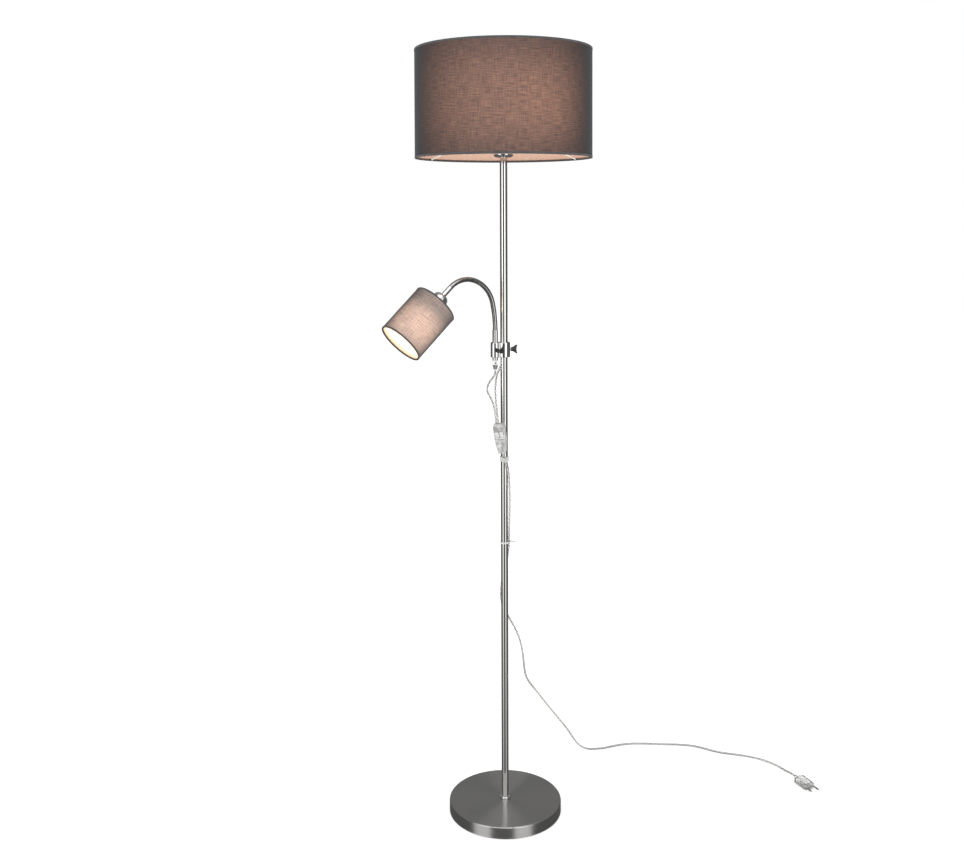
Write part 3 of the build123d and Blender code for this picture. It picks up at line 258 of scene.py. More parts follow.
def conductors(name, cord, twist_pitch=0.022, spread=0.00085, thickness=0.0009):
    """Two stranded conductors that twist round each other inside a cord's sheath."""
    centre = points_on(cord)
    total = run_length(centre)
    steps = max(24, round(total / twist_pitch * 10))
    curve = bpy.data.curves.new(name, "CURVE")
    curve.dimensions = "3D"
    travelled, index = 0.0, 0
    side = (centre[1] - centre[0]).orthogonal().normalized()
    rows = [[], []]
    for step in range(steps + 1):
        target = 0.002 + (total - 0.004) * step / steps
        while index < len(centre) - 2 and travelled + (centre[index + 1] - centre[index]).length < target:
            travelled += (centre[index + 1] - centre[index]).length
            index += 1
        run = centre[index + 1] - centre[index]
        heading = run.normalized()
        place = centre[index] + heading * (target - travelled)
        side = (side - heading * side.dot(heading)).normalized()
        turned = Matrix.Rotation(2 * math.pi * target / twist_pitch, 3, heading) @ side
        rows[0].append(place + turned * spread)
        rows[1].append(place - turned * spread)
    for row in rows:
        spline = curve.splines.new("POLY")
        spline.points.add(len(row) - 1)
        for point, place in zip(spline.points, row):
            point.co = (*place, 1)
    curve.bevel_depth = thickness / 2
    curve.bevel_resolution = 1
    pair = bpy.data.objects.new(name, curve)
    bpy.context.scene.collection.objects.link(pair)
    return pair


arm_cord = cord_curve("arm_cord", arm_lead_route, cord_diameter)
pole_cord = cord_curve("pole_cord", pole_lead_route, cord_diameter)
supply_cord = cord_curve("supply_cord_sheath", supply_route, cord_diameter)
arm_conductors = conductors("arm_cord_conductors", arm_cord)
pole_conductors = conductors("pole_cord_conductors", pole_cord)
supply_conductors = conductors("supply_cord_conductors", supply_cord)
for cord in (arm_cord, pole_cord, supply_cord):
    print(cord.name, "is", round(run_length(points_on(cord)), 3), "m long")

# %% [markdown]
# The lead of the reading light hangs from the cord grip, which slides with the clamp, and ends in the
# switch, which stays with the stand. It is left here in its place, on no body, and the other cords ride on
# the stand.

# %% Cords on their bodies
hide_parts("arm_lead")
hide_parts("pole_lead")
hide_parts("supply_cord")


def pick(piece):
    """Select only this piece, and make it active."""
    bpy.ops.object.select_all(action="DESELECT")
    piece.select_set(True)
    bpy.context.view_layer.objects.active = piece


def as_mesh(piece):
    """Turn a curve into a mesh, with its place in the mesh."""
    pick(piece)
    bpy.ops.object.convert(target="MESH")
    return bpy.context.object


arm_line = points_on(arm_cord)
for piece in (arm_cord, arm_conductors):
    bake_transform(as_mesh(piece))
pole_line, supply_line = points_on(pole_cord), points_on(supply_cord)
for piece in (pole_cord, supply_cord, pole_conductors, supply_conductors):
    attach(as_mesh(piece), "stand")

# %% [markdown]
# The gooseneck is a spring-steel hose wound from a profiled strip, so its outside is a row of very fine
# round ribs. One rib is modelled: a short cylinder whose middle is pushed out along its normals. The
# array modifier repeats it and the curve modifier lays the row along the bend. The lead inside is drawn
# on the same spline: upright out of the arm, a slack lean, then an even bend over to the reading light.

# %% Centre line of the hose
gooseneck_route = [
    (-0.01826, -0.00593, 1.01000), (-0.01826, -0.00593, 1.01900), (-0.01826, -0.00593, 1.02846),
    (-0.01945, -0.00673, 1.04732), (-0.02182, -0.00831, 1.06602), (-0.02535, -0.01066, 1.08442),
    (-0.03301, -0.01577, 1.10086), (-0.04420, -0.02323, 1.11407), (-0.05801, -0.03244, 1.12299),
    (-0.07322, -0.04259, 1.12688), (-0.08856, -0.05282, 1.12488), (-0.10262, -0.06219, 1.11724),
    (-0.10831, -0.06599, 1.11098),
]
hose_core = cord_curve("gooseneck_lead", gooseneck_route, cord_diameter)
hose_line_points = points_on(hose_core)
hose_length = run_length(hose_line_points)
print("hose", round(hose_length, 4), "m, ends at", [round(v, 4) for v in hose_line_points[-1]])

# %% One rib, then the whole hose
rib_pitch = 0.0024
rib_count = int(hose_length / rib_pitch)


def model_rib(name, radius, bulge):
    """A short tube round the X axis whose middle stands out by the bulge."""
    bpy.ops.object.select_all(action="DESELECT")
    bpy.ops.mesh.primitive_cylinder_add(
        vertices=32, radius=radius, depth=rib_pitch, end_fill_type="NOTHING",
        location=(rib_pitch / 2, 0, 0), rotation=(0, math.pi / 2, 0))
    rib = bpy.context.object
    rib.name = name
    bpy.ops.object.transform_apply(location=True, rotation=True, scale=True)
    bpy.ops.object.mode_set(mode="EDIT")
    bpy.ops.mesh.select_all(action="SELECT")
    bpy.ops.mesh.bisect(plane_co=(rib_pitch * 0.3, 0, 0), plane_no=(1, 0, 0))
    bpy.ops.mesh.select_all(action="SELECT")
    bpy.ops.mesh.bisect(plane_co=(rib_pitch * 0.7, 0, 0), plane_no=(1, 0, 0))
    bpy.ops.mesh.select_all(action="DESELECT")
    bpy.ops.object.mode_set(mode="OBJECT")
    for vertex in rib.data.vertices:
        vertex.select = 0.1 < vertex.co.x / rib_pitch < 0.9
    bpy.ops.object.mode_set(mode="EDIT")
    bpy.ops.transform.shrink_fatten(value=bulge)
    bpy.ops.object.mode_set(mode="OBJECT")
    return rib


hose = model_rib("gooseneck", 0.00502, 0.00010)
row = hose.modifiers.new("row", "ARRAY")
row.count = rib_count
row.use_relative_offset = False
row.use_constant_offset = True
row.constant_offset_displace = (rib_pitch, 0, 0)
row.use_merge_vertices = True
row.merge_threshold = 0.00001
bend = hose.modifiers.new("bend", "CURVE")
bend.object = hose_core
bend.deform_axis = "POS_X"
pick(hose)
bpy.ops.object.modifier_apply(modifier="row")
bpy.ops.object.modifier_apply(modifier="bend")
bpy.ops.object.shade_smooth()
hose.data.update()
print("hose ribs:", rib_count)

# %% Lead inside the hose
hose_core = as_mesh(hose_core)
for piece, node in ((hose, "gooseneck_hose"), (hose_core, "gooseneck_core")):
    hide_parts(node)
    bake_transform(piece)

# %% [markdown]
# Both shades are made alike: a woven cover is laminated on a stiff plastic liner, rolled to a drum, and
# its two rims are bound with a folded tape of the same cloth. The ends of the cover lap at the back.
# The cover starts as an open cylinder, the lap is a narrow strip of its wall raised along the normals,
# and Solidify gives the cloth its thickness. Its UV map is in metres, round the drum and up it, so the
# threads have their real size on both shades.

# %% Cloth covers
head_mouth_axis = Vector((-0.613381, -0.409074, -0.67559)).normalized()
head_top = Vector((-0.137505, -0.085460, 1.07882))


def frame_along(origin, axis):
    """A matrix whose Z runs along the axis, with the seam side turned to the pole."""
    z = axis.normalized()
    side = Vector((-0.554844, 0.831954, 0))
    side = (side - z * side.dot(z)).normalized()
    y = z.cross(side)
    matrix = Matrix((side, y, z)).transposed().to_4x4()
    matrix.translation = origin
    return matrix


drum_radius, drum_height = 0.1840, 0.225
reading_radius, reading_height = 0.0480, 0.110
rim_gap = 0.00045
drum_frame = Matrix.Translation((0, 0, 1.375))
head_frame = frame_along(head_top, head_mouth_axis)


def write_cloth_map(piece, radius):
    """A UV map in metres: round the drum, and up it."""
    mesh = piece.data
    layer = mesh.uv_layers.active or mesh.uv_layers.new(name="cloth")
    for face in mesh.polygons:
        angles = [math.atan2(mesh.vertices[v].co.y, mesh.vertices[v].co.x) for v in face.vertices]
        wraps = max(angles) - min(angles) > math.pi
        for loop, vertex, angle in zip(face.loop_indices, face.vertices, angles):
            turned = angle + 2 * math.pi if wraps and angle < 0 else angle
            point = mesh.vertices[vertex].co
            inset = radius - math.hypot(point.x, point.y)
            layer.data[loop].uv = (turned * radius, point.z + inset)


def cloth_cover(name, place, radius, low, high, lap_angle):
    """An open drum of cloth with a lapped seam."""
    bpy.ops.object.select_all(action="DESELECT")
    bpy.ops.mesh.primitive_cylinder_add(
        vertices=160, radius=radius, depth=high - low, end_fill_type="NOTHING",
        location=(0, 0, (low + high) / 2))
    cover = bpy.context.object
    cover.name = name
    bpy.ops.object.transform_apply(location=True, rotation=True, scale=True)
    mesh = cover.data
    bpy.ops.object.mode_set(mode="EDIT")
    bpy.ops.mesh.select_all(action="DESELECT")
    bpy.ops.object.mode_set(mode="OBJECT")
    half = max(0.006 / radius, math.radians(2.3))
    for face in mesh.polygons:
        turn = math.atan2(face.center.y, face.center.x) - lap_angle
        face.select = abs(math.atan2(math.sin(turn), math.cos(turn))) < half
    bpy.ops.object.mode_set(mode="EDIT")
    bpy.ops.mesh.extrude_region_shrink_fatten(TRANSFORM_OT_shrink_fatten={"value": 0.00028})
    bpy.ops.object.mode_set(mode="OBJECT")
    write_cloth_map(cover, radius)
    skin = cover.modifiers.new("skin", "SOLIDIFY")
    skin.thickness = 0.0005
    skin.offset = -1
    pick(cover)
    bpy.ops.object.modifier_apply(modifier="skin")
    bpy.ops.object.shade_smooth_by_angle(angle=math.radians(30))
    mesh.transform(place)
    mesh.update()
    return cover


seam_angle = math.radians(90)
drum_cloth = cloth_cover("drum_cloth", drum_frame, drum_radius, rim_gap, drum_height - rim_gap, seam_angle)
head_cloth = cloth_cover(
    "reading_cloth", head_frame, reading_radius, rim_gap, reading_height - rim_gap, seam_angle)
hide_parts("shade_fabric")
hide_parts("head_fabric")
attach(drum_cloth, "stand")
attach(head_cloth, "head")
print("cloth:", len(drum_cloth.data.polygons), len(head_cloth.data.polygons), "faces")

# %% Rim tapes
tape_lift = 0.0004
tape_edge = 0.00015


def rim_tape(name, place, radius, rim, way, fold, wall=0.0012):
    """A tape folded over a rim: up the outside, over the edge and down the inside."""
    outside, inside = radius + tape_lift, radius - wall - tape_lift
    outer_edge, inner_edge = radius + tape_edge, radius - wall - tape_edge
    bpy.ops.object.select_all(action="DESELECT")
    bpy.ops.mesh.primitive_cylinder_add(
        vertices=160, radius=outside, depth=fold - tape_lift, end_fill_type="NOTHING",
        location=(0, 0, rim + way * (fold + tape_lift) / 2))
    tape = bpy.context.object
    tape.name = name
    bpy.ops.object.transform_apply(location=True, rotation=True, scale=True)
    edge_height = rim + way * tape_lift
    for growth, rise in (
            (outer_edge / outside, -way * tape_lift), (inner_edge / outer_edge, 0),
            (inside / inner_edge, way * tape_lift), (1, way * (fold - tape_lift))):
        bpy.ops.object.mode_set(mode="EDIT")
        bpy.ops.mesh.select_mode(type="EDGE")
        bpy.ops.mesh.select_all(action="DESELECT")
        bpy.ops.mesh.select_non_manifold(extend=False, use_boundary=True)
        bpy.ops.object.mode_set(mode="OBJECT")
        mesh = tape.data
        rim_points = [mesh.vertices[edge.vertices[0]].co for edge in mesh.edges if edge.select]
        near = min((abs(point.z - edge_height), math.hypot(*point.xy)) for point in rim_points)
        for edge in mesh.edges:
            point = mesh.vertices[edge.vertices[0]].co
            same_height = abs(abs(point.z - edge_height) - near[0]) < 1e-6
            same_radius = abs(math.hypot(*point.xy) - near[1]) < 1e-6
            edge.select = edge.select and same_height and same_radius
        for vertex in mesh.vertices:
            vertex.select = False
        for edge in mesh.edges:
            if edge.select:
                for index in edge.vertices:
                    mesh.vertices[index].select = True
        bpy.ops.object.mode_set(mode="EDIT")
        bpy.ops.mesh.extrude_region_move(TRANSFORM_OT_translate={"value": (0, 0, rise)})
        bpy.ops.transform.resize(value=(growth, growth, 1), center_override=(0, 0, 0))
        bpy.ops.object.mode_set(mode="OBJECT")
        edge_height += rise
    write_cloth_map(tape, radius)
    pick(tape)
    bpy.ops.object.mode_set(mode="EDIT")
    bpy.ops.mesh.select_all(action="SELECT")
    bpy.ops.mesh.normals_make_consistent(inside=False)
    bpy.ops.object.mode_set(mode="OBJECT")
    bpy.ops.object.shade_smooth_by_angle(angle=math.radians(50))
    tape.data.transform(place)
    tape.data.update()
    return tape


tapes = []
for name, place, radius, height, fold, nodes, body in (
        ("drum_tape", drum_frame, drum_radius, drum_height, 0.0045, "shade_trims", "stand"),
        ("reading_tape", head_frame, reading_radius, reading_height, 0.0034, "head_trims", "head")):
    for end, rim, way in (("first", 0, 1), ("second", height, -1)):
        tape = rim_tape(f"{name}_{end}", place, radius, rim, way, fold)
        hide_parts(nodes)
        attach(tape, body)
        tapes.append(tape)
print("tapes:", [tape.name for tape in tapes])

# %% [markdown]
# Now the finishes. Every one is made of nodes that read the place on the piece itself, so nothing slides
# when the lamp moves. A small helper starts each material and gives quick access to its shader.

# %% Material helpers
def new_paint(name, **values):
    """A material with its uniform values set on the shader's own sockets."""
    paint = bpy.data.materials.new(name)
    paint.use_nodes = True
    shader = paint.node_tree.nodes["Principled BSDF"]
    for key, value in values.items():
        socket = shader.inputs[key.replace("_", " ").title().replace("Ior", "IOR")]
        socket.default_value = (*value, 1) if isinstance(value, tuple) and len(value) == 3 else value
    return paint, paint.node_tree, shader


def place_on(tree, scale, kind="Object", turn=(0, 0, 0), shift=(0, 0, 0)):
    """The place on the piece, stretched by a Mapping node."""
    source = tree.nodes.new("ShaderNodeTexCoord")
    mapping = tree.nodes.new("ShaderNodeMapping")
    mapping.inputs["Location"].default_value = shift
    mapping.inputs["Rotation"].default_value = turn
    mapping.inputs["Scale"].default_value = scale
    tree.links.new(source.outputs[kind], mapping.inputs["Vector"])
    return mapping.outputs[0]


def noise(tree, vector, detail=2.0, roughness=0.5, scale=1.0):
    """Noise, as a number from 0 to 1."""
    node = tree.nodes.new("ShaderNodeTexNoise")
    node.inputs["Scale"].default_value = scale
    node.inputs["Detail"].default_value = detail
    node.inputs["Roughness"].default_value = roughness
    tree.links.new(vector, node.inputs["Vector"])
    return node.outputs[0]


def ramp(tree, value, *stops):
    """A colour ramp from (position, colour) stops."""
    node = tree.nodes.new("ShaderNodeValToRGB")
    band = node.color_ramp
    while len(band.elements) < len(stops):
        band.elements.new(0.5)
    for element, (position, colour) in zip(band.elements, stops):
        element.position = position
        element.color = (*colour, 1)
    tree.links.new(value, node.inputs[0])
    return node.outputs[0]


def tint(tree, shader, value, *stops, socket="Base Color"):
    """Colour a finish, or its glow, by a ramp over a number."""
    tree.links.new(ramp(tree, value, *stops), shader.inputs[socket])


def weighted_sum(tree, first, first_share, second, second_share):
    """Two numbers added, each with its own share."""
    return link_math(tree, "ADD", link_math(tree, "MULTIPLY", first, first_share),
                     link_math(tree, "MULTIPLY", second, second_share))


def bump(tree, shader, height, distance, strength=1.0):
    """Bump from a height number."""
    node = tree.nodes.new("ShaderNodeBump")
    node.inputs["Distance"].default_value = distance
    node.inputs["Strength"].default_value = strength
    tree.links.new(height, node.inputs["Height"])
    tree.links.new(node.outputs[0], shader.inputs["Normal"])


def dress(paint, *names):
    """Give CAD nodes or new pieces a finish."""
    for name in names:
        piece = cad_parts.get(name) or bpy.data.objects[name]
        if piece.material_slots:
            for material_slot in piece.material_slots:
                material_slot.material = paint
        else:
            piece.data.materials.append(paint)


print("helpers ready")

# %% [markdown]
# The tubes are nickel-plated and drawn through a brush: the scratches run along them, so they spread the
# highlight sideways only a little. The arm tube shares the finish; the hose gets a darker colour, painted
# shade of its fine wound grooves.

# %% Satin tube and polished nickel
satin, tree, shader = new_paint("satin_nickel", metallic=1.0, base_color=(0.66, 0.65, 0.63), roughness=0.14)
lines = noise(tree, place_on(tree, (700, 700, 5)), detail=2)
tint(tree, shader, lines, (0.3, (0.60, 0.59, 0.57)), (0.7, (0.72, 0.71, 0.69)))
worn = noise(tree, place_on(tree, (12, 12, 3)), detail=4)
tree.links.new(smooth_range(tree, worn, 0.3, 0.7, 0.07, 0.13), shader.inputs["Roughness"])
bump(tree, shader, lines, 0.000004, 0.25)
dress(satin, "pole_lower", "pole_middle", "pole_upper", "arm_tube")

# Painted shade: the hose's darker nickel colour stands for the shade in its wound grooves.
hose_groove_shade, tree, shader = new_paint("wound_steel", metallic=1.0, base_color=(0.42, 0.41, 0.40), roughness=0.16)
rubbed = noise(tree, place_on(tree, (240, 240, 240)), detail=3)
tint(tree, shader, rubbed, (0.3, (0.36, 0.355, 0.345)), (0.7, (0.47, 0.46, 0.45)))
tree.links.new(smooth_range(tree, rubbed, 0.3, 0.7, 0.12, 0.20), shader.inputs["Roughness"])
dress(hose_groove_shade, "gooseneck")

chrome, tree, shader = new_paint(
    "polished_nickel", metallic=1.0, base_color=(0.80, 0.80, 0.79), roughness=0.07)
smudges = noise(tree, place_on(tree, (90, 90, 90)), detail=5, roughness=0.6)
tree.links.new(smooth_range(tree, smudges, 0.35, 0.75, 0.04, 0.13), shader.inputs["Roughness"])
tint(tree, shader, smudges, (0.3, (0.83, 0.83, 0.82)), (0.8, (0.74, 0.74, 0.73)))
bump(tree, shader, smudges, 0.00002, 0.3)
dress(chrome, "base_collar", "holder_cup", "head_cup", "head_ferrule", "clamp_body", "plug_pins")
print("tubes and cups dressed")

# %% [markdown]
# The base is a spun disc brushed while it turned, so its scratches are circles. Circles spread light
# across themselves: from any side one sees two bright wedges that meet at the middle, and they turn with
# the viewer. That is the shader's anisotropy with a tangent that runs round the Z axis, and the scratches
# themselves are noise along the distance from the middle.

# %% Brushed base
brushed, tree, shader = new_paint(
    "turned_steel", metallic=1.0, base_color=(0.50, 0.49, 0.48), roughness=0.32, anisotropic=0.9,
    anisotropic_rotation=0.25)
tangent = tree.nodes.new("ShaderNodeTangent")
tangent.direction_type = "RADIAL"
tangent.axis = "Z"
tree.links.new(tangent.outputs[0], shader.inputs["Tangent"])
spot = tree.nodes.new("ShaderNodeSeparateXYZ")
tree.links.new(place_on(tree, (1, 1, 1)), spot.inputs[0])
radius_out = link_math(tree, "SQRT", link_math(
    tree, "ADD", link_math(tree, "POWER", spot.outputs[0], 2), link_math(tree, "POWER", spot.outputs[1], 2)))
rings_at = tree.nodes.new("ShaderNodeCombineXYZ")
tree.links.new(link_math(tree, "MULTIPLY", radius_out, 2600), rings_at.inputs[0])
tree.links.new(link_math(tree, "MULTIPLY", spot.outputs[2], 2600), rings_at.inputs[1])
rings = noise(tree, rings_at.outputs[0], detail=4, roughness=0.7)
tint(tree, shader, rings, (0.3, (0.47, 0.465, 0.455)), (0.7, (0.56, 0.555, 0.545)))
tree.links.new(smooth_range(tree, rings, 0.3, 0.7, 0.28, 0.36), shader.inputs["Roughness"])
bump(tree, shader, rings, 0.00001, 0.2)
dress(brushed, "base_cover")
print("base dressed")

# %% Hidden steel, brass, rubber and concrete
zinc, tree, shader = new_paint("zinc_steel", metallic=1.0, base_color=(0.55, 0.56, 0.57), roughness=0.35)
grain = noise(tree, place_on(tree, (500, 500, 500)), detail=4)
tint(tree, shader, grain, (0.3, (0.42, 0.43, 0.45)), (0.7, (0.66, 0.66, 0.64)))
bump(tree, shader, grain, 0.00004, 0.4)
dress(zinc, "base_washer", "base_nut", "foot_stud", "pole_inserts", "pole_studs", "cup_stud", "pole_screw",
      "arm_screw", "grip_screw", "switch_screws")

brass, tree, shader = new_paint("brass", metallic=1.0, base_color=(0.72, 0.52, 0.24), roughness=0.3)
grain = noise(tree, place_on(tree, (300, 300, 300)), detail=4)
tint(tree, shader, grain, (0.3, (0.62, 0.43, 0.18)), (0.7, (0.80, 0.60, 0.30)))
dress(brass, "switch_terminals")

rubber, tree, shader = new_paint("rubber", base_color=(0.03, 0.03, 0.03), roughness=0.85)
pores = noise(tree, place_on(tree, (900, 900, 900)), detail=3)
tint(tree, shader, pores, (0.35, (0.02, 0.02, 0.02)), (0.7, (0.05, 0.05, 0.05)))
bump(tree, shader, pores, 0.0001, 0.6)
dress(rubber, "base_pad")

concrete, tree, shader = new_paint("cast_weight", base_color=(0.4, 0.39, 0.37), roughness=0.9)
speckle = noise(tree, place_on(tree, (160, 160, 160)), detail=8, roughness=0.7)
tint(tree, shader, speckle, (0.35, (0.28, 0.27, 0.26)), (0.65, (0.5, 0.49, 0.46)))
bump(tree, shader, speckle, 0.0004, 0.7)
dress(concrete, "base_weight")

lamp_cap, tree, shader = new_paint("lamp_cap", metallic=1.0, base_color=(0.8, 0.8, 0.79), roughness=0.25)
grain = noise(tree, place_on(tree, (200, 200, 200)), detail=3)
tint(tree, shader, grain, (0.3, (0.7, 0.7, 0.69)), (0.7, (0.86, 0.86, 0.85)))
dress(lamp_cap, "bulb_cap", "head_bulb_cap")
print("small parts dressed")

# %% [markdown]
# The plastics. The wings are moulded black with a fine spark-eroded grain. The cord sheath, the grip and
# the plug are clear PVC, which is never quite clean: slow ripples and a light grey haze. The clip and the
# tie are milkier. The switch is a clear case too, but moulded thick and matt, and all one sees is a pale
# mottled grey.

# %% Plastics
black, tree, shader = new_paint("black_moulding", base_color=(0.018, 0.018, 0.02), roughness=0.38)
grain = noise(tree, place_on(tree, (1500, 1500, 1500)), detail=2)
tint(tree, shader, grain, (0.3, (0.012, 0.012, 0.013)), (0.7, (0.03, 0.03, 0.032)))
bump(tree, shader, grain, 0.00008, 0.5)
dress(black, "pole_screw_wing", "arm_screw_wing")

clear, tree, shader = new_paint(
    "clear_pvc", base_color=(0.93, 0.93, 0.92), roughness=0.10, ior=1.45, transmission_weight=0.92)
ripple = noise(tree, place_on(tree, (160, 160, 90)), detail=3)
tint(tree, shader, ripple, (0.3, (0.86, 0.86, 0.85)), (0.7, (0.97, 0.97, 0.96)))
tree.links.new(smooth_range(tree, ripple, 0.3, 0.7, 0.06, 0.18), shader.inputs["Roughness"])
bump(tree, shader, ripple, 0.0002, 0.3)
dress(clear, "cord_grip", "pole_grommet", "plug_body", "arm_cord", "pole_cord", "supply_cord_sheath",
      "pole_core", "gooseneck_lead")

milky, tree, shader = new_paint(
    "milky_moulding", base_color=(0.82, 0.82, 0.81), roughness=0.3, ior=1.45, transmission_weight=0.35)
cloud = noise(tree, place_on(tree, (260, 260, 180)), detail=3)
tint(tree, shader, cloud, (0.35, (0.66, 0.66, 0.65)), (0.65, (0.92, 0.92, 0.91)))
bump(tree, shader, cloud, 0.0002, 0.4)
dress(milky, "cord_clip", "cable_tie")

case, tree, shader = new_paint(
    "switch_case", base_color=(0.6, 0.6, 0.59), roughness=0.33, ior=1.47, transmission_weight=0.25)
blotches = noise(tree, place_on(tree, (150, 150, 110)), detail=5, roughness=0.62)
tint(tree, shader, blotches,
     (0.36, (0.36, 0.36, 0.35)), (0.5, (0.58, 0.58, 0.57)), (0.66, (0.84, 0.84, 0.83)))
bump(tree, shader, blotches, 0.0004, 0.5)
dress(case, "switch_front", "switch_back")

rocker, tree, shader = new_paint(
    "rocker_moulding", base_color=(0.72, 0.72, 0.71), roughness=0.22, ior=1.47, transmission_weight=0.15)
blotches = noise(tree, place_on(tree, (220, 220, 200)), detail=4)
tint(tree, shader, blotches, (0.35, (0.55, 0.55, 0.54)), (0.7, (0.86, 0.86, 0.85)))
bump(tree, shader, blotches, 0.0002, 0.3)
dress(rocker, "rocker_left", "rocker_right")

holder_white, tree, shader = new_paint("holder_moulding", base_color=(0.85, 0.84, 0.81), roughness=0.35)
grain = noise(tree, place_on(tree, (700, 700, 700)), detail=2)
tint(tree, shader, grain, (0.3, (0.80, 0.79, 0.76)), (0.7, (0.90, 0.89, 0.86)))
bump(tree, shader, grain, 0.00006, 0.4)
dress(holder_white, "lamp_holder", "shade_ring", "head_holder", "head_ring")

lacquer, tree, shader = new_paint("white_lacquer", base_color=(0.9, 0.89, 0.87), roughness=0.3)
peel = noise(tree, place_on(tree, (900, 900, 900)), detail=2)
tint(tree, shader, peel, (0.3, (0.86, 0.85, 0.83)), (0.7, (0.94, 0.93, 0.91)))
bump(tree, shader, peel, 0.00006, 0.5)
dress(lacquer, "shade_top_wire", "head_frame")

bound, tree, shader = new_paint("bound_frame", base_color=(0.9, 0.89, 0.87), roughness=0.4)
place = tree.nodes.new("ShaderNodeVectorMath")
place.operation = "LENGTH"
tree.links.new(place_on(tree, (1, 1, 0)), place.inputs[0])
from_axis = smooth_range(tree, place.outputs["Value"], 0.1788, 0.1794)
tint(tree, shader, from_axis, (0.4, (0.9, 0.89, 0.87)), (0.6, (0.06, 0.06, 0.065)))
bump(tree, shader, noise(tree, place_on(tree, (900, 900, 900)), detail=2), 0.00006, 0.5)
dress(bound, "shade_frame")

rim_coat, tree, shader = new_paint("slate_lacquer", base_color=(0.05, 0.05, 0.055), roughness=0.6)
peel = noise(tree, place_on(tree, (900, 900, 900)), detail=2)
tint(tree, shader, peel, (0.3, (0.04, 0.04, 0.044)), (0.7, (0.06, 0.06, 0.066)))
bump(tree, shader, peel, 0.00006, 0.5)
dress(rim_coat, "head_rim_wire")

strands, tree, shader = new_paint("tinned_strands", metallic=0.3, base_color=(0.5, 0.48, 0.44), roughness=0.4)
# Painted light and shade: the strands' colour runs slowly from near black to bright along the cord, for
# places where they catch the light and places where they lie in shade.
stretch = noise(tree, place_on(tree, (9, 9, 7)), detail=1)
twist = noise(tree, place_on(tree, (2500, 2500, 900)), detail=2)
shade = weighted_sum(tree, stretch, 0.8, twist, 0.2)
tint(tree, shader, shade, (0.44, (0.16, 0.155, 0.145)), (0.60, (0.80, 0.76, 0.70)))
dress(strands, "arm_cord_conductors", "pole_cord_conductors", "supply_cord_conductors")
print("plastics dressed")

# %% [markdown]
# Both lights are on. The lamps are opal glass that glows evenly. The liners inside the shades catch most
# of that light, and what they let through shows in the cloth as a warm glow, strongest beside the lamp and
# weaker at the rims. It is drawn here as emission that depends on the place on the shade only.

# %% Lamps and liners
def glow_around(tree, centre, near, far, high, low, stretch=(1, 1, 1)):
    """A number that falls from high to low with the distance from a point on the piece."""
    mapping = place_on(tree, stretch, shift=tuple(-c * s for c, s in zip(centre, stretch)))
    length = tree.nodes.new("ShaderNodeVectorMath")
    length.operation = "LENGTH"
    tree.links.new(mapping, length.inputs[0])
    return smooth_range(tree, length.outputs["Value"], near, far, high, low)


opal, tree, shader = new_paint(
    "opal_glass", base_color=(0.95, 0.92, 0.86), roughness=0.2, emission_color=(1.0, 0.84, 0.62))
cloudy = noise(tree, place_on(tree, (60, 60, 60)), detail=3)
tree.links.new(smooth_range(tree, cloudy, 0.3, 0.7, 1.5, 1.9), shader.inputs["Emission Strength"])
dress(opal, "bulb", "head_bulb")

drum_centre = (0.0, 0.0, 1.485)
head_centre = tuple(head_top + head_mouth_axis * 0.070)

# The liners are white plastic: their warm base colours and their emission are painted light from the lamps,
# stronger near them.
liner_paint, tree, shader = new_paint(
    "warm_liner", base_color=(0.62, 0.48, 0.40), roughness=0.55, emission_color=(1.0, 0.50, 0.32))
mottle = noise(tree, place_on(tree, (300, 300, 300)), detail=3)
tint(tree, shader, mottle, (0.3, (0.52, 0.39, 0.32)), (0.7, (0.62, 0.48, 0.40)))
near_lamp = glow_around(tree, drum_centre, 0.185, 0.218, 1.0, 0.0)
tree.links.new(smooth_range(tree, near_lamp, 0, 1, 0.12, 0.30), shader.inputs["Emission Strength"])
tint(tree, shader, near_lamp, (0.0, (1.0, 0.42, 0.22)), (0.6, (1.0, 0.56, 0.38)), socket="Emission Color")
bump(tree, shader, mottle, 0.00005, 0.5)
dress(liner_paint, "shade_liner")

# Painted light: this liner's tan colour and its glow stand for its lamp's warm light.
bright_liner, tree, shader = new_paint(
    "bright_liner", base_color=(0.52, 0.45, 0.36), roughness=0.55, emission_color=(1.0, 0.86, 0.66))
mottle = noise(tree, place_on(tree, (300, 300, 300)), detail=3)
tint(tree, shader, mottle, (0.3, (0.48, 0.41, 0.33)), (0.7, (0.56, 0.49, 0.40)))
near_lamp = glow_around(tree, head_centre, 0.050, 0.063, 1.0, 0.0)
tree.links.new(smooth_range(tree, near_lamp, 0, 1, 0.22, 1.05), shader.inputs["Emission Strength"])
tint(tree, shader, near_lamp, (0.0, (1.0, 0.36, 0.12)), (0.7, (1.0, 0.84, 0.62)), socket="Emission Color")
bump(tree, shader, mottle, 0.00005, 0.5)
dress(bright_liner, "head_liner")
print("lamps are on")

# %% [markdown]
# The cloth is a plain weave of slubby yarn, dyed slate. Five patterns on the UV map in metres make it:
# fine ribs for the warp and the weft, long thin streaks both ways for the thick places in the yarn, and
# the yarn's own fine grain.
# Thick places are darker against the light and thin places let it through, so the streaks drive the
# glow as well. A dark clear coat with no gloss stands for the yarn's own depth: seen aslant there is more
# yarn in the way, and the glow fades towards the edges of the drum as it does on the real shade.

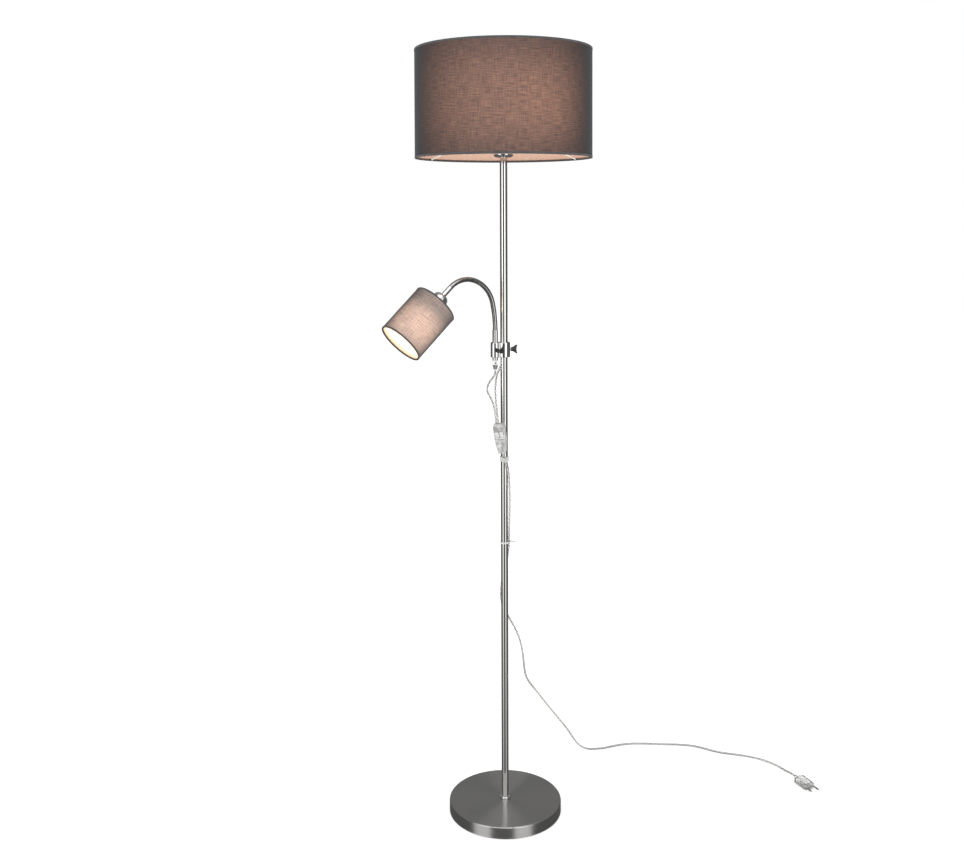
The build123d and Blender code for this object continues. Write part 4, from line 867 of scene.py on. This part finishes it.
# %% Cloth
def weave(tree):
    """Returns the rib height, the slub streaks and the fine yarn noise."""
    rows = []
    for axis, pitch in (("X", 0.00075), ("Y", 0.00065)):
        wave = tree.nodes.new("ShaderNodeTexWave")
        wave.wave_type = "BANDS"
        wave.bands_direction = axis
        wave.wave_profile = "SIN"
        wave.inputs["Scale"].default_value = 0.314159 / pitch
        wave.inputs["Distortion"].default_value = 1.2
        wave.inputs["Detail"].default_value = 2
        wave.inputs["Detail Scale"].default_value = 0.6
        tree.links.new(place_on(tree, (1, 1, 1), "UV"), wave.inputs["Vector"])
        rows.append(wave.outputs["Fac"])
    ribs = link_math(tree, "MULTIPLY", link_math(tree, "ADD", *rows), 0.5)
    weft = noise(tree, place_on(tree, (42, 720, 1), "UV"), detail=3, roughness=0.55)
    warp = noise(tree, place_on(tree, (680, 38, 1), "UV", shift=(3, 7, 0)), detail=3, roughness=0.55)
    yarn = noise(tree, place_on(tree, (900, 1100, 1), "UV"), detail=2)
    slubs = weighted_sum(tree, weft, 0.6, warp, 0.4)
    return ribs, slubs, yarn


def cloth_paint(name, dark, light, glow_colour, glow_value, depth_tint, sheen_value):
    """Slate cloth with a glow given by a function of the tree."""
    paint, tree, shader = new_paint(
        name, base_color=light, roughness=0.9, specular_ior_level=0.1, coat_weight=1.0, coat_roughness=1.0,
        coat_ior=1.0, coat_tint=depth_tint, sheen_weight=sheen_value, sheen_roughness=0.5,
        sheen_tint=(0.62, 0.66, 0.70))
    ribs, slubs, yarn = weave(tree)
    thick = weighted_sum(tree, slubs, 0.8, yarn, 0.2)
    tint(tree, shader, thick, (0.38, light), (0.62, dark))
    through = smooth_range(tree, thick, 0.36, 0.64, 1.25, 0.68)
    tint(tree, shader, thick, (0.40, glow_colour[0]), (0.60, glow_colour[1]), socket="Emission Color")
    tree.links.new(link_math(tree, "MULTIPLY", through, glow_value(tree)), shader.inputs["Emission Strength"])
    height = link_math(tree, "ADD", link_math(tree, "MULTIPLY", ribs, 0.6), thick)
    bump(tree, shader, height, 0.00025, 0.7)
    return paint


def drum_glow(tree):
    """Brightest half way up, fading to the rims, with a painted patch of extra light on the front right of
    the drum.
    """
    upright = glow_around(tree, drum_centre, 0.03, 0.135, 1.0, 0.45, (0.12, 0.12, 1))
    # Painted light: a brighter patch on the front-right side of the drum.
    right = glow_around(tree, (0.105, -0.15, 1.47), 0.0, 0.13, 0.35, 0.0)
    return link_math(tree, "ADD", upright, right)


def reading_glow(tree):
    """Brightest beside the lamp."""
    return glow_around(tree, head_centre, 0.046, 0.072, 1.0, 0.3)


drum_paint = cloth_paint(
    "slate_linen", (0.115, 0.11, 0.12), (0.19, 0.18, 0.185), ((1.0, 0.46, 0.27), (0.60, 0.31, 0.22)),
    lambda tree: link_math(tree, "MULTIPLY", drum_glow(tree), 0.97), (0.30, 0.30, 0.30), 0.27)
# The reading shade is the same slate cloth as the drum; its lighter base colours here are painted light.
head_paint = cloth_paint(
    "slate_linen_bright", (0.26, 0.255, 0.265), (0.42, 0.41, 0.42), ((1.0, 0.62, 0.42), (0.82, 0.5, 0.36)),
    lambda tree: link_math(tree, "MULTIPLY", reading_glow(tree), 1.75), (0.45, 0.45, 0.45), 0.30)
dress(drum_paint, "drum_cloth")
dress(head_paint, "reading_cloth")

tape_paint, tree, shader = new_paint(
    "slate_tape", base_color=(0.07, 0.075, 0.085), roughness=0.85, sheen_weight=0.1)
ribs, slubs, yarn = weave(tree)
tint(tree, shader, slubs, (0.38, (0.098, 0.096, 0.10)), (0.62, (0.052, 0.052, 0.056)))
bump(tree, shader, ribs, 0.0002, 0.7)
dress(tape_paint, *[tape.name for tape in tapes])
print("cloth dressed")
